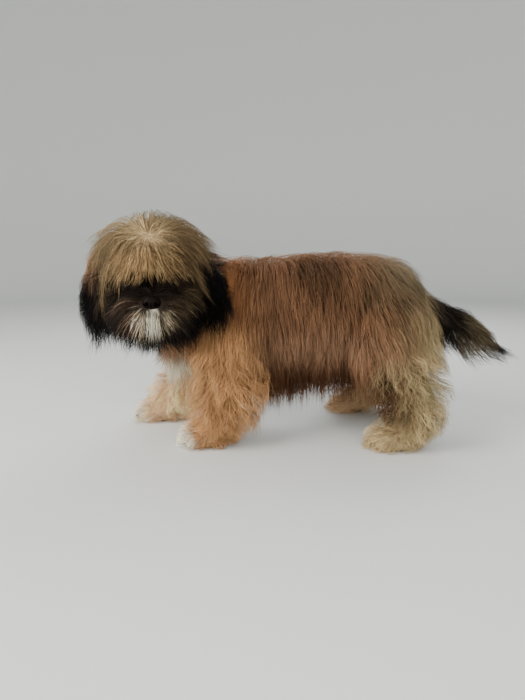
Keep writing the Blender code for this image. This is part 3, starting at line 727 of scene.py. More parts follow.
# The numbers of each region stand in the order of the fields above.
HAIR = {
    Region.CROWN: Hair(
        0.060, 0.0215, 0.25, 0.00048, 0.06, 0.0005, 0.050, 0.04, 3.2, 1.0, 0.28, 0.15,
    ),
    Region.FRINGE: Hair(
        0.0185, 0.0135, 0.20, 0.00044, 0.16, 0.0004, 0.030, 0.18, 3.0, 2.2, 0.30, 0.26, 0.42,
    ),
    Region.MASK: Hair(
        0.024, 0.0068, 0.35, 0.00050, 0.24, 0.0006, 0.020, 0.22, 2.8, 2.8, 0.35, 0.40,
    ),
    Region.CHEEK: Hair(
        0.052, 0.0200, 0.40, 0.00052, 0.26, 0.0014, 0.030, 0.16, 2.6, 1.9, 0.55, 0.80,
    ),
    Region.MOUSTACHE: Hair(
        0.042, 0.0150, 0.32, 0.00048, 0.24, 0.0010, 0.026, 0.12, 2.4, 1.8, 0.50, 0.65,
    ),
    Region.BLAZE: Hair(
        0.031, 0.0110, 0.35, 0.00048, 0.25, 0.0006, 0.026, 0.05, 2.6, 8.0, 0.08, 0.04, 0.74,
    ),
    Region.CHIN: Hair(
        0.042, 0.0140, 0.50, 0.00052, 0.20, 0.0014, 0.022, 0.30, 2.4, 2.8, 0.20, 0.20,
    ),
    Region.EAR: Hair(0.054, 0.0240, 0.70, 0.00056, 0.30, 0.0036, 0.020, 0.24, 3.0, 1.0, 0.30, 0.30),
    Region.NECK: Hair(
        0.056, 0.0220, 0.25, 0.00050, 0.04, 0.0010, 0.040, 0.08, 2.4, 1.0, 0.13, 0.05,
    ),
    Region.BIB: Hair(0.066, 0.0370, 0.65, 0.00054, 0.20, 0.0016, 0.028, 0.16, 3.0, 2.4),
    Region.BACK: Hair(
        0.058, 0.0215, 0.15, 0.00058, 0.03, 0.0010, 0.046, 0.08, 3.6, 2.4, 0.15, 0.06,
    ),
    Region.FLANK: Hair(
        0.056, 0.0190, 0.25, 0.00050, 0.05, 0.0012, 0.042, 0.09, 2.4, 1.0, 0.15, 0.06,
    ),
    Region.SKIRT: Hair(
        0.070, 0.0170, 0.90, 0.00050, 0.10, 0.0014, 0.034, 0.16, 3.0, 1.7, 0.15, 0.06, 0.58,
    ),
    Region.BELLY: Hair(
        0.072, 0.0120, 1.00, 0.00054, 0.16, 0.0016, 0.028, 0.20, 6.0, 2.6, 0.20, 0.10, 0.64,
    ),
    Region.LEG: Hair(0.029, 0.0210, 0.15, 0.00052, 0.40, 0.0030, 0.012, 0.40, 3.0, 1.0, 0.16, 0.12),
    Region.PAW: Hair(
        0.0160, 0.0085, 0.10, 0.00046, 0.32, 0.0012, 0.012, 0.28, 2.6, 1.0, 0.14, 0.10,
    ),
    Region.TAIL: Hair(
        0.056, 0.0180, 0.35, 0.00052, 0.24, 0.0022, 0.024, 0.20, 2.2, 1.0, 0.36, 0.15, 0.50,
    ),
}


def hair_values(name: str) -> np.ndarray:
    """One of the hair's numbers for each region, in the order of the regions."""
    return np.array([getattr(HAIR[region], name) for region in REGIONS])


@dataclass(frozen=True)
class CoatMap:
    """Which region of the coat grows where, and the way that the hair lies there."""

    whorl: Vector = field(default_factory=lambda: Vector((0.014, -0.004, 0.044)))
    face_middle: Vector = field(default_factory=lambda: Vector((0.058, 0.000, -0.010)))
    neck_cut: Vector = field(default_factory=lambda: Vector((0.004, -0.136, 0.184)))
    neck_way: Vector = field(default_factory=lambda: Vector((-0.72, 0.60, -0.35)))
    eye_clearance: float = 0.0108
    nose_clearance: float = 1.04
    mask_reach: float = 0.0210
    mask_top: float = 0.0130
    mouth_half_wide: float = 0.022
    lips_half_high: float = 0.0042
    ear_inside: float = 0.0470
    paw_top: float = 0.028
    leg_top: float = 0.098
    leg_rise: float = 0.024
    skirt_top: float = 0.132
    tail_start: float = 0.158
    tail_half_wide: float = 0.022
    tail_bottom: float = 0.09
    spine_half_width: float = 0.030
    face_fall: ClassVar[dict[Region, float]] = {
        Region.MASK: 0.10, Region.MOUSTACHE: 0.06, Region.CHEEK: 0.22,
    }

    def on_head(self, point: Vector) -> bool:
        """Whether a point is on the head's side of the neck."""
        return (point - self.neck_cut).dot(self.neck_way) < 0

    def head_region(self, point: Vector) -> Region | None:
        """The region at a point on the head in the head's axes, or None where it is bare."""
        f, s, z = point
        eye_away = min((point - eye).length for eye in both_sides(EYE_PLACE))
        if eye_away < self.eye_clearance or Nose.covers(point, self.nose_clearance):
            return None
        by_mouth = abs(s) < self.mouth_half_wide
        if f > 0.014 and by_mouth and abs(z - MOUTH_HEIGHT) < self.lips_half_high:
            return None
        if f > 0.010 and by_mouth and z < MOUTH_HEIGHT:
            return Region.CHIN
        if abs(s) > self.ear_inside and z < 0.030 and f < 0.034:
            return Region.EAR
        by_eye = eye_away < self.mask_reach or abs(s) < 0.014
        if f > 0.024 and -0.014 < z < self.mask_top and by_eye:
            return Region.MASK
        if f > 0.050 and abs(s) < 0.009 and z < -0.018:
            return Region.BLAZE
        if f > 0.038 and z < -0.004:
            return Region.MOUSTACHE
        if z < 0.003:
            return Region.CHEEK
        return Region.FRINGE if f > 0.022 and z < 0.036 else Region.CROWN

    def body_region(self, point: Vector, outward: Vector) -> Region | None:
        """The region at a point on the body in the body's axes, or None where it is bare."""
        if point.z < self.paw_top:
            return None if outward.z < -0.6 and point.z < 0.004 else Region.PAW
        by_tail = abs(point.x - HIND_X) < self.tail_half_wide and point.z > self.tail_bottom
        if point.y > self.tail_start and by_tail:
            return Region.TAIL
        legs_top = self.leg_top + self.leg_rise * self.over_leg(point.y)
        if point.z < legs_top and abs(outward.z) < 0.8:
            return Region.LEG
        if outward.z < -0.75:
            return Region.BELLY
        if point.y < -0.100 and point.z < 0.165:
            return Region.BIB
        if point.y < -0.087:
            return Region.NECK
        if point.z < self.skirt_top and -0.055 < point.y < 0.085:
            return Region.SKIRT
        return Region.BACK if outward.z > 0.55 else Region.FLANK

    def over_leg(self, y: float) -> float:
        """How surely a place along the trunk is over a leg, from 0 to 1."""
        fore = ramp(y, -0.135, -0.115) * (1 - ramp(y, -0.060, -0.035))
        return max(fore, ramp(y, 0.080, 0.105))

    def region(self, point: Vector, outward: Vector) -> Region | None:
        """The region at a point on the skin, or None where the skin is bare."""
        if self.on_head(point):
            return self.head_region(HEAD_INVERSE @ point)
        return self.body_region(point, outward)

    def growth(self, point: Vector, outward: Vector, region: Region) -> tuple[float, float]:
        """How much of its region's length and lift the hair at a point has.

        Args:
            point: A place in the body's axes.
            outward: The skin's outward way there.
            region: The region of the place.

        Returns:
            A factor for the length, less over the ears, and one for the lift, more behind
            the legs.
        """
        if region in HEAD_REGIONS:
            return self.head_growth(HEAD_INVERSE @ point, region)
        if region is Region.TAIL:
            over = ramp(outward.z, 0.0, 0.6) * 0.45 - ramp(-outward.z, 0.0, 0.6) * 0.40
            return 1.0 + 0.15 * ramp(point.y, 0.215, 0.235), 1.0 - over
        if region in (Region.LEG, Region.PAW):
            return self.leg_growth(point, max(0.0, outward.y))
        if region in (Region.BACK, Region.FLANK) and point.y > 0.08:
            behind = ramp(point.y, 0.105, 0.140) * ramp(outward.z, -0.10, 0.50)
            under = ramp(outward.y, 0.30, 0.80) * (1 - ramp(outward.z, -0.10, 0.30))
            return 1.0 - 0.25 * behind, 1.0 - 0.55 * behind + 0.35 * under
        if region in (Region.NECK, Region.BIB, Region.FLANK) and point.y < -0.055 and point.x > 0:
            by_ear = (1 - ramp(point.y, -0.100, -0.065)) * (1 - ramp(-point.y, 0.118, 0.132))
            return 1.0, 1.0 - 0.60 * by_ear * ramp(point.z, 0.105, 0.125)
        return 1.0, 1.0

    def head_growth(self, local: Vector, region: Region) -> tuple[float, float]:
        """The factors for the hair at a point of the head, given in the head's axes."""
        if region is Region.CROWN:
            near_side = ramp(local.y, 0.022, 0.040) + 0.15 * ramp(-local.y, 0.022, 0.040)
            higher = 0.30 + 0.70 * ramp((local - self.whorl).length, 0.002, 0.020)
            higher *= 1.0 - (0.60 if local.y > 0 else 0.72) * ramp(abs(local.y), 0.016, 0.038)
            return 1.0 - 0.45 * near_side * ramp(local.x, -0.035, -0.005), higher
        if region is Region.FRINGE:
            longer = 1.0 + 0.80 * ramp(abs(local.y), 0.004, 0.026)
            return longer + 0.90 * ramp(-local.y, 0.020, 0.032), 1.0
        if region is Region.EAR:
            low = ramp(-local.z, -0.020, 0.020)
            return 1.0, (0.40 + 1.20 * low) if local.y > 0 else (0.36 + 0.40 * low)
        return 1.0, 1.0

    def leg_growth(self, point: Vector, behind: float) -> tuple[float, float]:
        """The factors for a leg's hair: fuller behind the elbow, closer behind the hock.

        Args:
            point: A place on a leg or paw, in the body's axes.
            behind: How far the skin looks back there, from 0 to 1.

        Returns:
            A factor for the length and one for the lift.
        """
        if point.y < MID_Y:
            elbow = ramp(point.z, 0.032, 0.064) * (1 - ramp(point.z, 0.085, 0.110))
            return 1.0 + 0.60 * behind * elbow, 1.0 + behind * (0.05 + 0.35 * elbow)
        return 1.0, 1.0 - 0.35 * behind + 0.70 * behind * ramp(point.z, 0.050, 0.100)

    def middle_x(self, y: float) -> float:
        """Where the spine runs at this y."""
        return HIND_X * ramp(y, -0.075, 0.125)

    def head_lie(self, local: Vector, region: Region) -> Vector:
        """The way the hair lies at a point of the head, given in the head's axes."""
        side = math.copysign(1, local.y)
        if region is Region.EAR:
            far = -0.25 - 0.55 * ramp(local.z, -0.020, 0.010)
            return HEAD_TURN @ Vector((0.12, 0.95 if side > 0 else far, -1))
        if region is Region.CROWN:
            away = local - self.whorl
            near = max(0.0, 1 - away.length / 0.012)
            swirl = Vector((-away.y, away.x, 0.0)).normalized() * near * 1.2
            outer = ramp(abs(local.y), 0.020, 0.045)
            down = 0.50 * (1 - near) + (0.50 if side > 0 else 0.90) * outer
            return HEAD_TURN @ (away.normalized() + swirl) + DOWN * down
        if region is Region.FRINGE:
            away = local - self.whorl
            away.y *= 2.0
            down = 0.20 + 0.80 * ramp(-local.y, 0.014, 0.030)
            return HEAD_TURN @ away.normalized() + DOWN * down
        if region is Region.BLAZE:
            return HEAD_TURN @ Vector((0.15, local.y * 4, -1))
        if region is Region.CHIN:
            return HEAD_TURN @ Vector((0.10, local.y * 32, -1))
        if region is Region.MASK and local.z > 0.003:
            return HEAD_TURN @ Vector((0.30, 0.25 * side, -1))
        away = local - self.face_middle
        away.x *= 0.15
        if region is Region.MOUSTACHE and local.z < -0.012:
            away.y *= ramp(abs(local.y), 0.003, 0.011)
        fall = self.face_fall[region]
        if region is Region.CHEEK:
            fall += 0.90 * ramp(-local.z, 0.008, 0.030)
            away.y *= 1 - 0.65 * ramp(-local.z, 0.018, 0.034)
        return HEAD_TURN @ away.normalized() + DOWN * fall

    def lie(self, point: Vector, outward: Vector, region: Region) -> Vector:
        """The way the hair lies at a point, before it is laid along the skin.

        Args:
            point: A place in the body's axes.
            outward: The skin's outward way there.
            region: The region that the hair is rooted in.

        Returns:
            A direction, whose length has no meaning.
        """
        if region in HEAD_REGIONS:
            return self.head_lie(HEAD_INVERSE @ point, region)
        if region is Region.TAIL:
            end = ramp(point.y, 0.185, 0.205)
            return Vector((0, 0.35 + 0.60 * end, -0.80 + 0.35 * end))
        if region is Region.LEG:
            return Vector((0, 0.10 + 0.65 * max(0.0, outward.y), -1))
        if region is Region.PAW:
            return Vector((0, 0.60 if outward.y > 0.2 else -0.75, -0.65))
        if region is Region.BIB:
            return Vector((0, -0.35 - 0.5 * ramp(-point.y, 0.125, 0.150), -1))
        parted = max(-1.0, min(1.0, (point.x - self.middle_x(point.y)) / self.spine_half_width))
        back = -0.12 + 0.30 * ramp(point.y, -0.10, 0.03) + 0.42 * ramp(point.y, 0.03, 0.15)
        return Vector((parted * 0.8, back + 1.2 * (1 - abs(parted)), -1.0))


@dataclass(frozen=True)
class Shade:
    """One colour of hair, as the light that it sends back."""

    red: float
    green: float
    blue: float

    def array(self) -> np.ndarray:
        """The colour as an array."""
        return np.array((self.red, self.green, self.blue))


@dataclass(frozen=True)
class Mark:
    """A soft-edged area of one colour: its middle, its reach along each axis, and its edge."""

    middle: tuple[float, float, float]
    reach: tuple[float, float, float]
    shade: Shade
    edge: float = 0.35
    strength: float = 1.0
    ragged: float = 0.12

    def paint(self, colours: np.ndarray, points: np.ndarray, seed: int) -> np.ndarray:
        """Lay the mark over the colours of many points.

        Args:
            colours: The colours so far, one in each row.
            points: Where they are.
            seed: Chooses the pattern of the mark's ragged edge.

        Returns:
            The new colours.
        """
        away = np.linalg.norm((points - self.middle) / self.reach, axis=1)
        away = away + self.ragged * wobble(points, 0.018, seed)
        share = self.strength * (1 - soft_step(away, 1 - self.edge, 1 + self.edge))[:, None]
        return colours * (1 - share) + self.shade.array() * share


TAN = Shade(0.150, 0.104, 0.053)
PALE_TAN = Shade(0.700, 0.510, 0.270)
LIGHT_ORANGE = Shade(0.460, 0.300, 0.143)
SABLE = Shade(0.050, 0.028, 0.014)
BLACK_BROWN = Shade(0.006, 0.0042, 0.0034)
BLACK = Shade(0.003, 0.002, 0.002)
GREY_BROWN = Shade(0.036, 0.023, 0.015)
WHITE = Shade(0.930, 0.870, 0.680)
CREAM = Shade(0.560, 0.460, 0.310)
RED_GOLD = Shade(0.500, 0.205, 0.074)
DARK_GOLD = Shade(0.110, 0.050, 0.023)
BROWN = Shade(0.205, 0.103, 0.053)
LIGHT_BROWN = Shade(0.310, 0.180, 0.105)
DARK_RED = Shade(0.062, 0.026, 0.012)
DUSKY = Shade(0.140, 0.105, 0.060)
ASH = Shade(0.115, 0.088, 0.048)
GOLD_CREAM = Shade(0.400, 0.310, 0.160)
APRICOT = Shade(0.500, 0.272, 0.120)
# The far legs' pale apricot, made lighter still as painted light to make up for the shade they
# stand in.
PALE_APRICOT_PAINTED_LIGHT = Shade(0.930, 0.620, 0.350)
DARK_GREY = Shade(0.070, 0.055, 0.038)

CROWN_MARKS = (
    # Pale crown hair round the whorl, lighter still as a painted highlight on the top of the head.
    Mark((0.008, -0.004, 0.060), (0.034, 0.018, 0.030), PALE_TAN, 0.8, 0.85),
    # Sable on the head's right side, darkened further as painted shade on the side away from the
    # light.
    Mark((0.010, 0.050, 0.032), (0.070, 0.026, 0.038), SABLE, 0.6, 0.50, 0.45),
    Mark((0.058, -0.004, 0.016), (0.034, 0.036, 0.020), LIGHT_ORANGE, 0.5, 0.9, 0.25),
    # Sable on the right of the fringe, darkened further as painted shade on the side away from the
    # light.
    Mark((0.060, 0.030, 0.018), (0.034, 0.018, 0.024), SABLE, 0.6, 0.60, 0.50),
    Mark((0.064, 0.002, -0.004), (0.030, 0.036, 0.011), BLACK_BROWN, 0.4, 0.65, 0.25),
)
FACE_MARKS = (
    # The dark mask round the eyes: partly the dog's own dark mask, partly painted shade under the
    # fringe.
    Mark((0.046, 0.000, 0.004), (0.040, 0.080, 0.0160), BLACK_BROWN, 0.30, 1.0, 0.05),
    Mark((0.035, -0.040, -0.024), (0.050, 0.022, 0.022), BLACK_BROWN, 0.6, 0.40, 0.4),
    Mark((0.050, 0.034, -0.018), (0.050, 0.018, 0.018), TAN, 0.6, 0.42, 0.6),
    Mark((0.030, 0.000, -0.068), (0.080, 0.080, 0.024), BLACK, 0.30),
    Mark((0.030, -0.042, -0.054), (0.070, 0.022, 0.025), BLACK, 0.35),
    Mark((0.030, 0.044, -0.052), (0.070, 0.020, 0.024), BLACK, 0.35),
    Mark((0.075, -0.0125, -0.033), (0.026, 0.0042, 0.0105), CREAM, 0.40, 0.80, 0.20),
    Mark((0.075, 0.0160, -0.032), (0.026, 0.0038, 0.0105), CREAM, 0.40, 0.72, 0.20),
    Mark((0.075, 0.0018, -0.0325), (0.030, 0.0054, 0.0155), WHITE, 0.30, 0.95, 0.10),
)
BODY_MARKS = (
    Mark((0.000, -0.103, 0.170), (0.090, 0.046, 0.060), RED_GOLD, 0.6),
    Mark((0.060, -0.055, 0.150), (0.060, 0.030, 0.045), DARK_GOLD, 0.7, 0.35, 0.2),
    Mark((0.055, -0.028, 0.104), (0.040, 0.016, 0.022), DARK_RED, 0.6, 0.55, 0.3),
    # Painted shadow under the near ear, on the neck hair.
    Mark((0.060, -0.097, 0.146), (0.040, 0.016, 0.018), BLACK_BROWN, 0.5, 0.9, 0.30),
    Mark((0.045, 0.034, 0.196), (0.070, 0.028, 0.028), SABLE, 0.6, 0.80, 0.40),
    Mark((0.060, 0.080, 0.174), (0.050, 0.016, 0.016), SABLE, 0.7, 0.65, 0.40),
    Mark((0.055, 0.122, 0.168), (0.050, 0.010, 0.016), SABLE, 0.7, 0.40, 0.40),
    Mark((0.055, -0.040, 0.188), (0.050, 0.020, 0.014), SABLE, 0.7, 0.35, 0.40),
    Mark((0.000, 0.025, 0.112), (0.090, 0.080, 0.026), LIGHT_BROWN, 0.6, 0.8),
    Mark((-0.015, 0.145, 0.185), (0.100, 0.060, 0.050), DUSKY, 0.6),
    Mark((-0.015, 0.155, 0.115), (0.110, 0.050, 0.042), GOLD_CREAM, 0.6),
    Mark((0.000, 0.025, 0.072), (0.100, 0.095, 0.023), DARK_RED, 0.55),
    Mark((0.000, -0.150, 0.122), (0.060, 0.045, 0.026), LIGHT_BROWN, 0.5, 0.9),
    Mark((0.000, -0.132, 0.066), (0.070, 0.036, 0.026), WHITE, 0.4, 0.9),
    Mark((0.050, -0.085, 0.110), (0.060, 0.042, 0.036), APRICOT, 0.5, 0.9),
)
LEG_MARKS = (
    Mark((0.046, -0.075, 0.060), (0.045, 0.060, 0.090), APRICOT, 0.4),
    # Far foreleg: pale apricot with painted light.
    Mark((-0.049, -0.120, 0.060), (0.045, 0.090, 0.090), PALE_APRICOT_PAINTED_LIGHT, 0.4),
    Mark((0.046, -0.132, 0.006), (0.030, 0.022, 0.018), WHITE, 0.4),
    Mark((-0.049, -0.207, 0.006), (0.030, 0.022, 0.018), WHITE, 0.4),
    Mark((0.057, 0.130, 0.040), (0.045, 0.070, 0.095), GOLD_CREAM, 0.4),
    Mark((0.066, 0.104, 0.014), (0.040, 0.044, 0.022), PALE_TAN, 0.5, 0.5, 0.3),
    # Far hind leg: pale apricot with painted light.
    Mark((-0.091, 0.110, 0.040), (0.045, 0.070, 0.095), PALE_APRICOT_PAINTED_LIGHT, 0.4, 0.8),
    Mark((0.065, 0.093, 0.062), (0.060, 0.034, 0.034), DARK_GOLD, 0.5, 1.0, 0.35),
    Mark((0.065, 0.088, 0.064), (0.060, 0.022, 0.024), SABLE, 0.5, 0.60, 0.60),
)
EAR_MARKS = (
    Mark((0.004, 0.055, 0.026), (0.050, 0.022, 0.014), SABLE, 0.5, 0.8),
    Mark((0.000, -0.058, 0.012), (0.050, 0.026, 0.022), LIGHT_BROWN, 0.5, 0.80, 0.3),
    Mark((-0.010, -0.068, 0.000), (0.040, 0.012, 0.009), SABLE, 0.6, 0.5, 0.3),
)
TAIL_MARKS = (
    Mark((-0.015, 0.212, 0.140), (0.030, 0.018, 0.025), ASH, 0.6, 0.8),
    Mark((-0.015, 0.182, 0.150), (0.030, 0.018, 0.030), BLACK, 0.4, 0.95),
    Mark((-0.015, 0.244, 0.110), (0.040, 0.020, 0.030), BLACK, 0.5, 0.9),
)


@dataclass(frozen=True)
class Markings:
    """The colours of the whole dog, the same for its skin and its coat."""

    def at(self, points: np.ndarray, regions: np.ndarray) -> np.ndarray:
        """Find the colour at many places.

        Args:
            points: Places in the body's axes, one in each row.
            regions: The number of each place's region.

        Returns:
            One colour in each row.
        """
        colours = np.tile(BROWN.array(), (len(points), 1))
        local = in_head(points)
        groups = (
            (TRUNK_REGIONS, BROWN, BODY_MARKS, points),
            ((Region.LEG, Region.PAW), LIGHT_BROWN, LEG_MARKS, points),
            ((Region.TAIL,), DARK_GREY, TAIL_MARKS, points),
            ((Region.EAR,), BLACK, EAR_MARKS, local),
            ((Region.CROWN, Region.FRINGE), TAN, CROWN_MARKS, local),
            ((Region.MASK, *STIFF), GREY_BROWN, FACE_MARKS, local),
        )
        for number, (members, base, marks, places) in enumerate(groups):
            chosen = is_one_of(regions, members)
            painted = np.tile(base.array(), (int(chosen.sum()), 1))
            for index, mark in enumerate(marks):
                painted = mark.paint(painted, places[chosen], 100 * number + index)
            colours[chosen] = painted
        return colours


@dataclass
class Tufts:
    """The middle lines of all locks, which the strands of each lock follow."""

    coat_map: CoatMap
    tree: BVHTree
    steps: int = 8
    sink: float = 0.0015
    rise: float = 0.20
    turn: float = 0.42
    floor: float = 0.0016
    stiff_hold: float = 0.35
    push: float = 1.2
    pull: float = 0.6
    spread: tuple[float, float] = (0.82, 1.12)
    roots: np.ndarray = field(init=False)
    regions: np.ndarray = field(init=False)
    numbers: np.ndarray = field(init=False)
    paths: np.ndarray = field(init=False)
    outs: np.ndarray = field(init=False)

    def smooth_numbers(self) -> None:
        """Blend the regions' numbers over neighbouring locks, but not between ear and head."""
        kd = KDTree(len(self.roots))
        for index, root in enumerate(self.roots):
            kd.insert(root, index)
        kd.balance()
        ear = self.regions == REGION_INDEX[Region.EAR]
        near = [[n[1] for n in kd.find_n(root, 10)] for root in self.roots]
        for _ in range(2):
            blended = self.numbers.copy()
            for index, neighbours in enumerate(near):
                same = [n for n in neighbours if ear[n] == ear[index]]
                blended[index] = self.numbers[same].mean(axis=0)
            self.numbers = blended

    def grow(self, roots: np.ndarray, outward: np.ndarray, regions: np.ndarray) -> None:
        """Let a lock grow from each root.

        Args:
            roots: Where the locks are rooted on the skin.
            outward: The skin's outward way at each root.
            regions: The number of each root's region.
        """
        self.roots, self.regions = roots, regions
        self.numbers = np.array([HAIR[REGIONS[index]].numbers() for index in regions])
        self.smooth_numbers()
        rng = np.random.default_rng(SEED)
        strays = rng.normal(size=(len(roots), 3))
        stretch = rng.uniform(*self.spread, len(roots))
        self.paths = np.empty((len(roots), self.steps + 1, 3))
        self.outs = np.empty((len(roots), self.steps + 1, 3))
        for index in range(len(roots)):
            length, lift, hang, _, _, _, _, fray, pace = self.numbers[index]
            root, out = Vector(roots[index]), Vector(outward[index])
            region = REGIONS[regions[index]]
            longer, higher = self.coat_map.growth(root, out, region)
            self.paths[index], self.outs[index] = self.path(
                root, out, region, length * stretch[index] * longer, lift * higher, hang, pace,
                Vector(strays[index]) * fray,
            )

    def path(
        self, root: Vector, outward: Vector, region: Region,
        length: float, lift: float, hang: float, pace: float, stray: Vector,
    ) -> tuple[list[Vector], list[Vector]]:
        """Lead one lock over the skin from its root to its tip.

        Args:
            root: Where it is rooted.
            outward: The skin's outward way there.
            region: The region of its root.
            length: Its length.
            lift: How far it stands off the skin.
            hang: How freely it falls.
            pace: How soon it stands off and falls.
            stray: What is added to the way that it lies.

        Returns:
            The points of its middle line, and the skin's outward way at each.
        """
        point = root - outward * self.sink
        held = self.stiff_hold if region in STIFF else 1.0
        lie = self.laid(self.coat_map.lie(root, outward, region) + stray, outward, 1.0)
        heading = (lie + outward * self.rise * pace).normalized()
        points, outs = [point], [outward]
        step = length / self.steps
        for index in range(1, self.steps + 1):
            share = index / self.steps
            point = point + heading * step
            near, out, _, _ = self.tree.find_nearest(point)
            short = lift * min(1.0, share * pace) - (point - near).dot(out)
            if short > 0:
                point = point + out * min(short, step * self.push)
            elif out.z > -0.2:
                point = point + out * (short * (1 - hang) * self.pull)
            point.z = max(point.z, self.floor)
            points.append(point)
            outs.append(out)
            fall = hang * min(1.0, share * pace)
            along = self.laid(self.coat_map.lie(point, out, region) + stray, out, held)
            heading = (heading * self.turn + along * (1 - fall) + DOWN * fall).normalized()
        return points, outs

    @staticmethod
    def laid(direction: Vector, outward: Vector, held: float) -> Vector:
        """A direction turned to run along the skin, less so where it points out and held is low."""
        off = direction.normalized().dot(outward)
        return (direction.normalized() - outward * off * (held if off > 0 else 1.0)).normalized()


class CoatPiece(Enum):
    """The pieces of the coat: name, material slot, number of strands and rings of a strand."""

    CROWN = ("coat_crown", "crown_coat", 6900, 5)
    FACE = ("coat_face", "dark_coat", 3600, 4)
    BEARD = ("coat_beard", "dark_coat", 6600, 4)
    EARS = ("coat_ears", "dark_coat", 4800, 4)
    NECK = ("coat_neck", "body_coat", 5400, 4)
    SHOULDERS = ("coat_shoulders", "body_coat", 8400, 4)
    LOIN = ("coat_loin", "body_coat", 8000, 4)
    RUMP = ("coat_rump", "body_coat", 6800, 4)
    TAIL = ("coat_tail", "tail_coat", 2800, 4)
    FORELEGS = ("coat_forelegs", "leg_coat", 5400, 4)
    HIND_LEGS = ("coat_hindlegs", "leg_coat", 5400, 4)
    PAWS = ("coat_paws", "paw_coat", 4400, 3)

    @staticmethod
    def of(region: Region, y: float) -> "CoatPiece":
        """The piece that a root in this region, at this y, belongs to."""
        if region is Region.CROWN:
            return CoatPiece.CROWN
        if region is Region.EAR:
            return CoatPiece.EARS
        if region in (Region.FRINGE, Region.MASK):
            return CoatPiece.FACE
        if region in HEAD_REGIONS:
            return CoatPiece.BEARD
        if region in (Region.NECK, Region.BIB):
            return CoatPiece.NECK
        if region is Region.TAIL:
            return CoatPiece.TAIL
        if region is Region.PAW:
            return CoatPiece.PAWS
        if region is Region.LEG:
            return CoatPiece.FORELEGS if y < MID_Y else CoatPiece.HIND_LEGS
        if y < 0.0:
            return CoatPiece.SHOULDERS
        return CoatPiece.LOIN if y < 0.085 else CoatPiece.RUMP


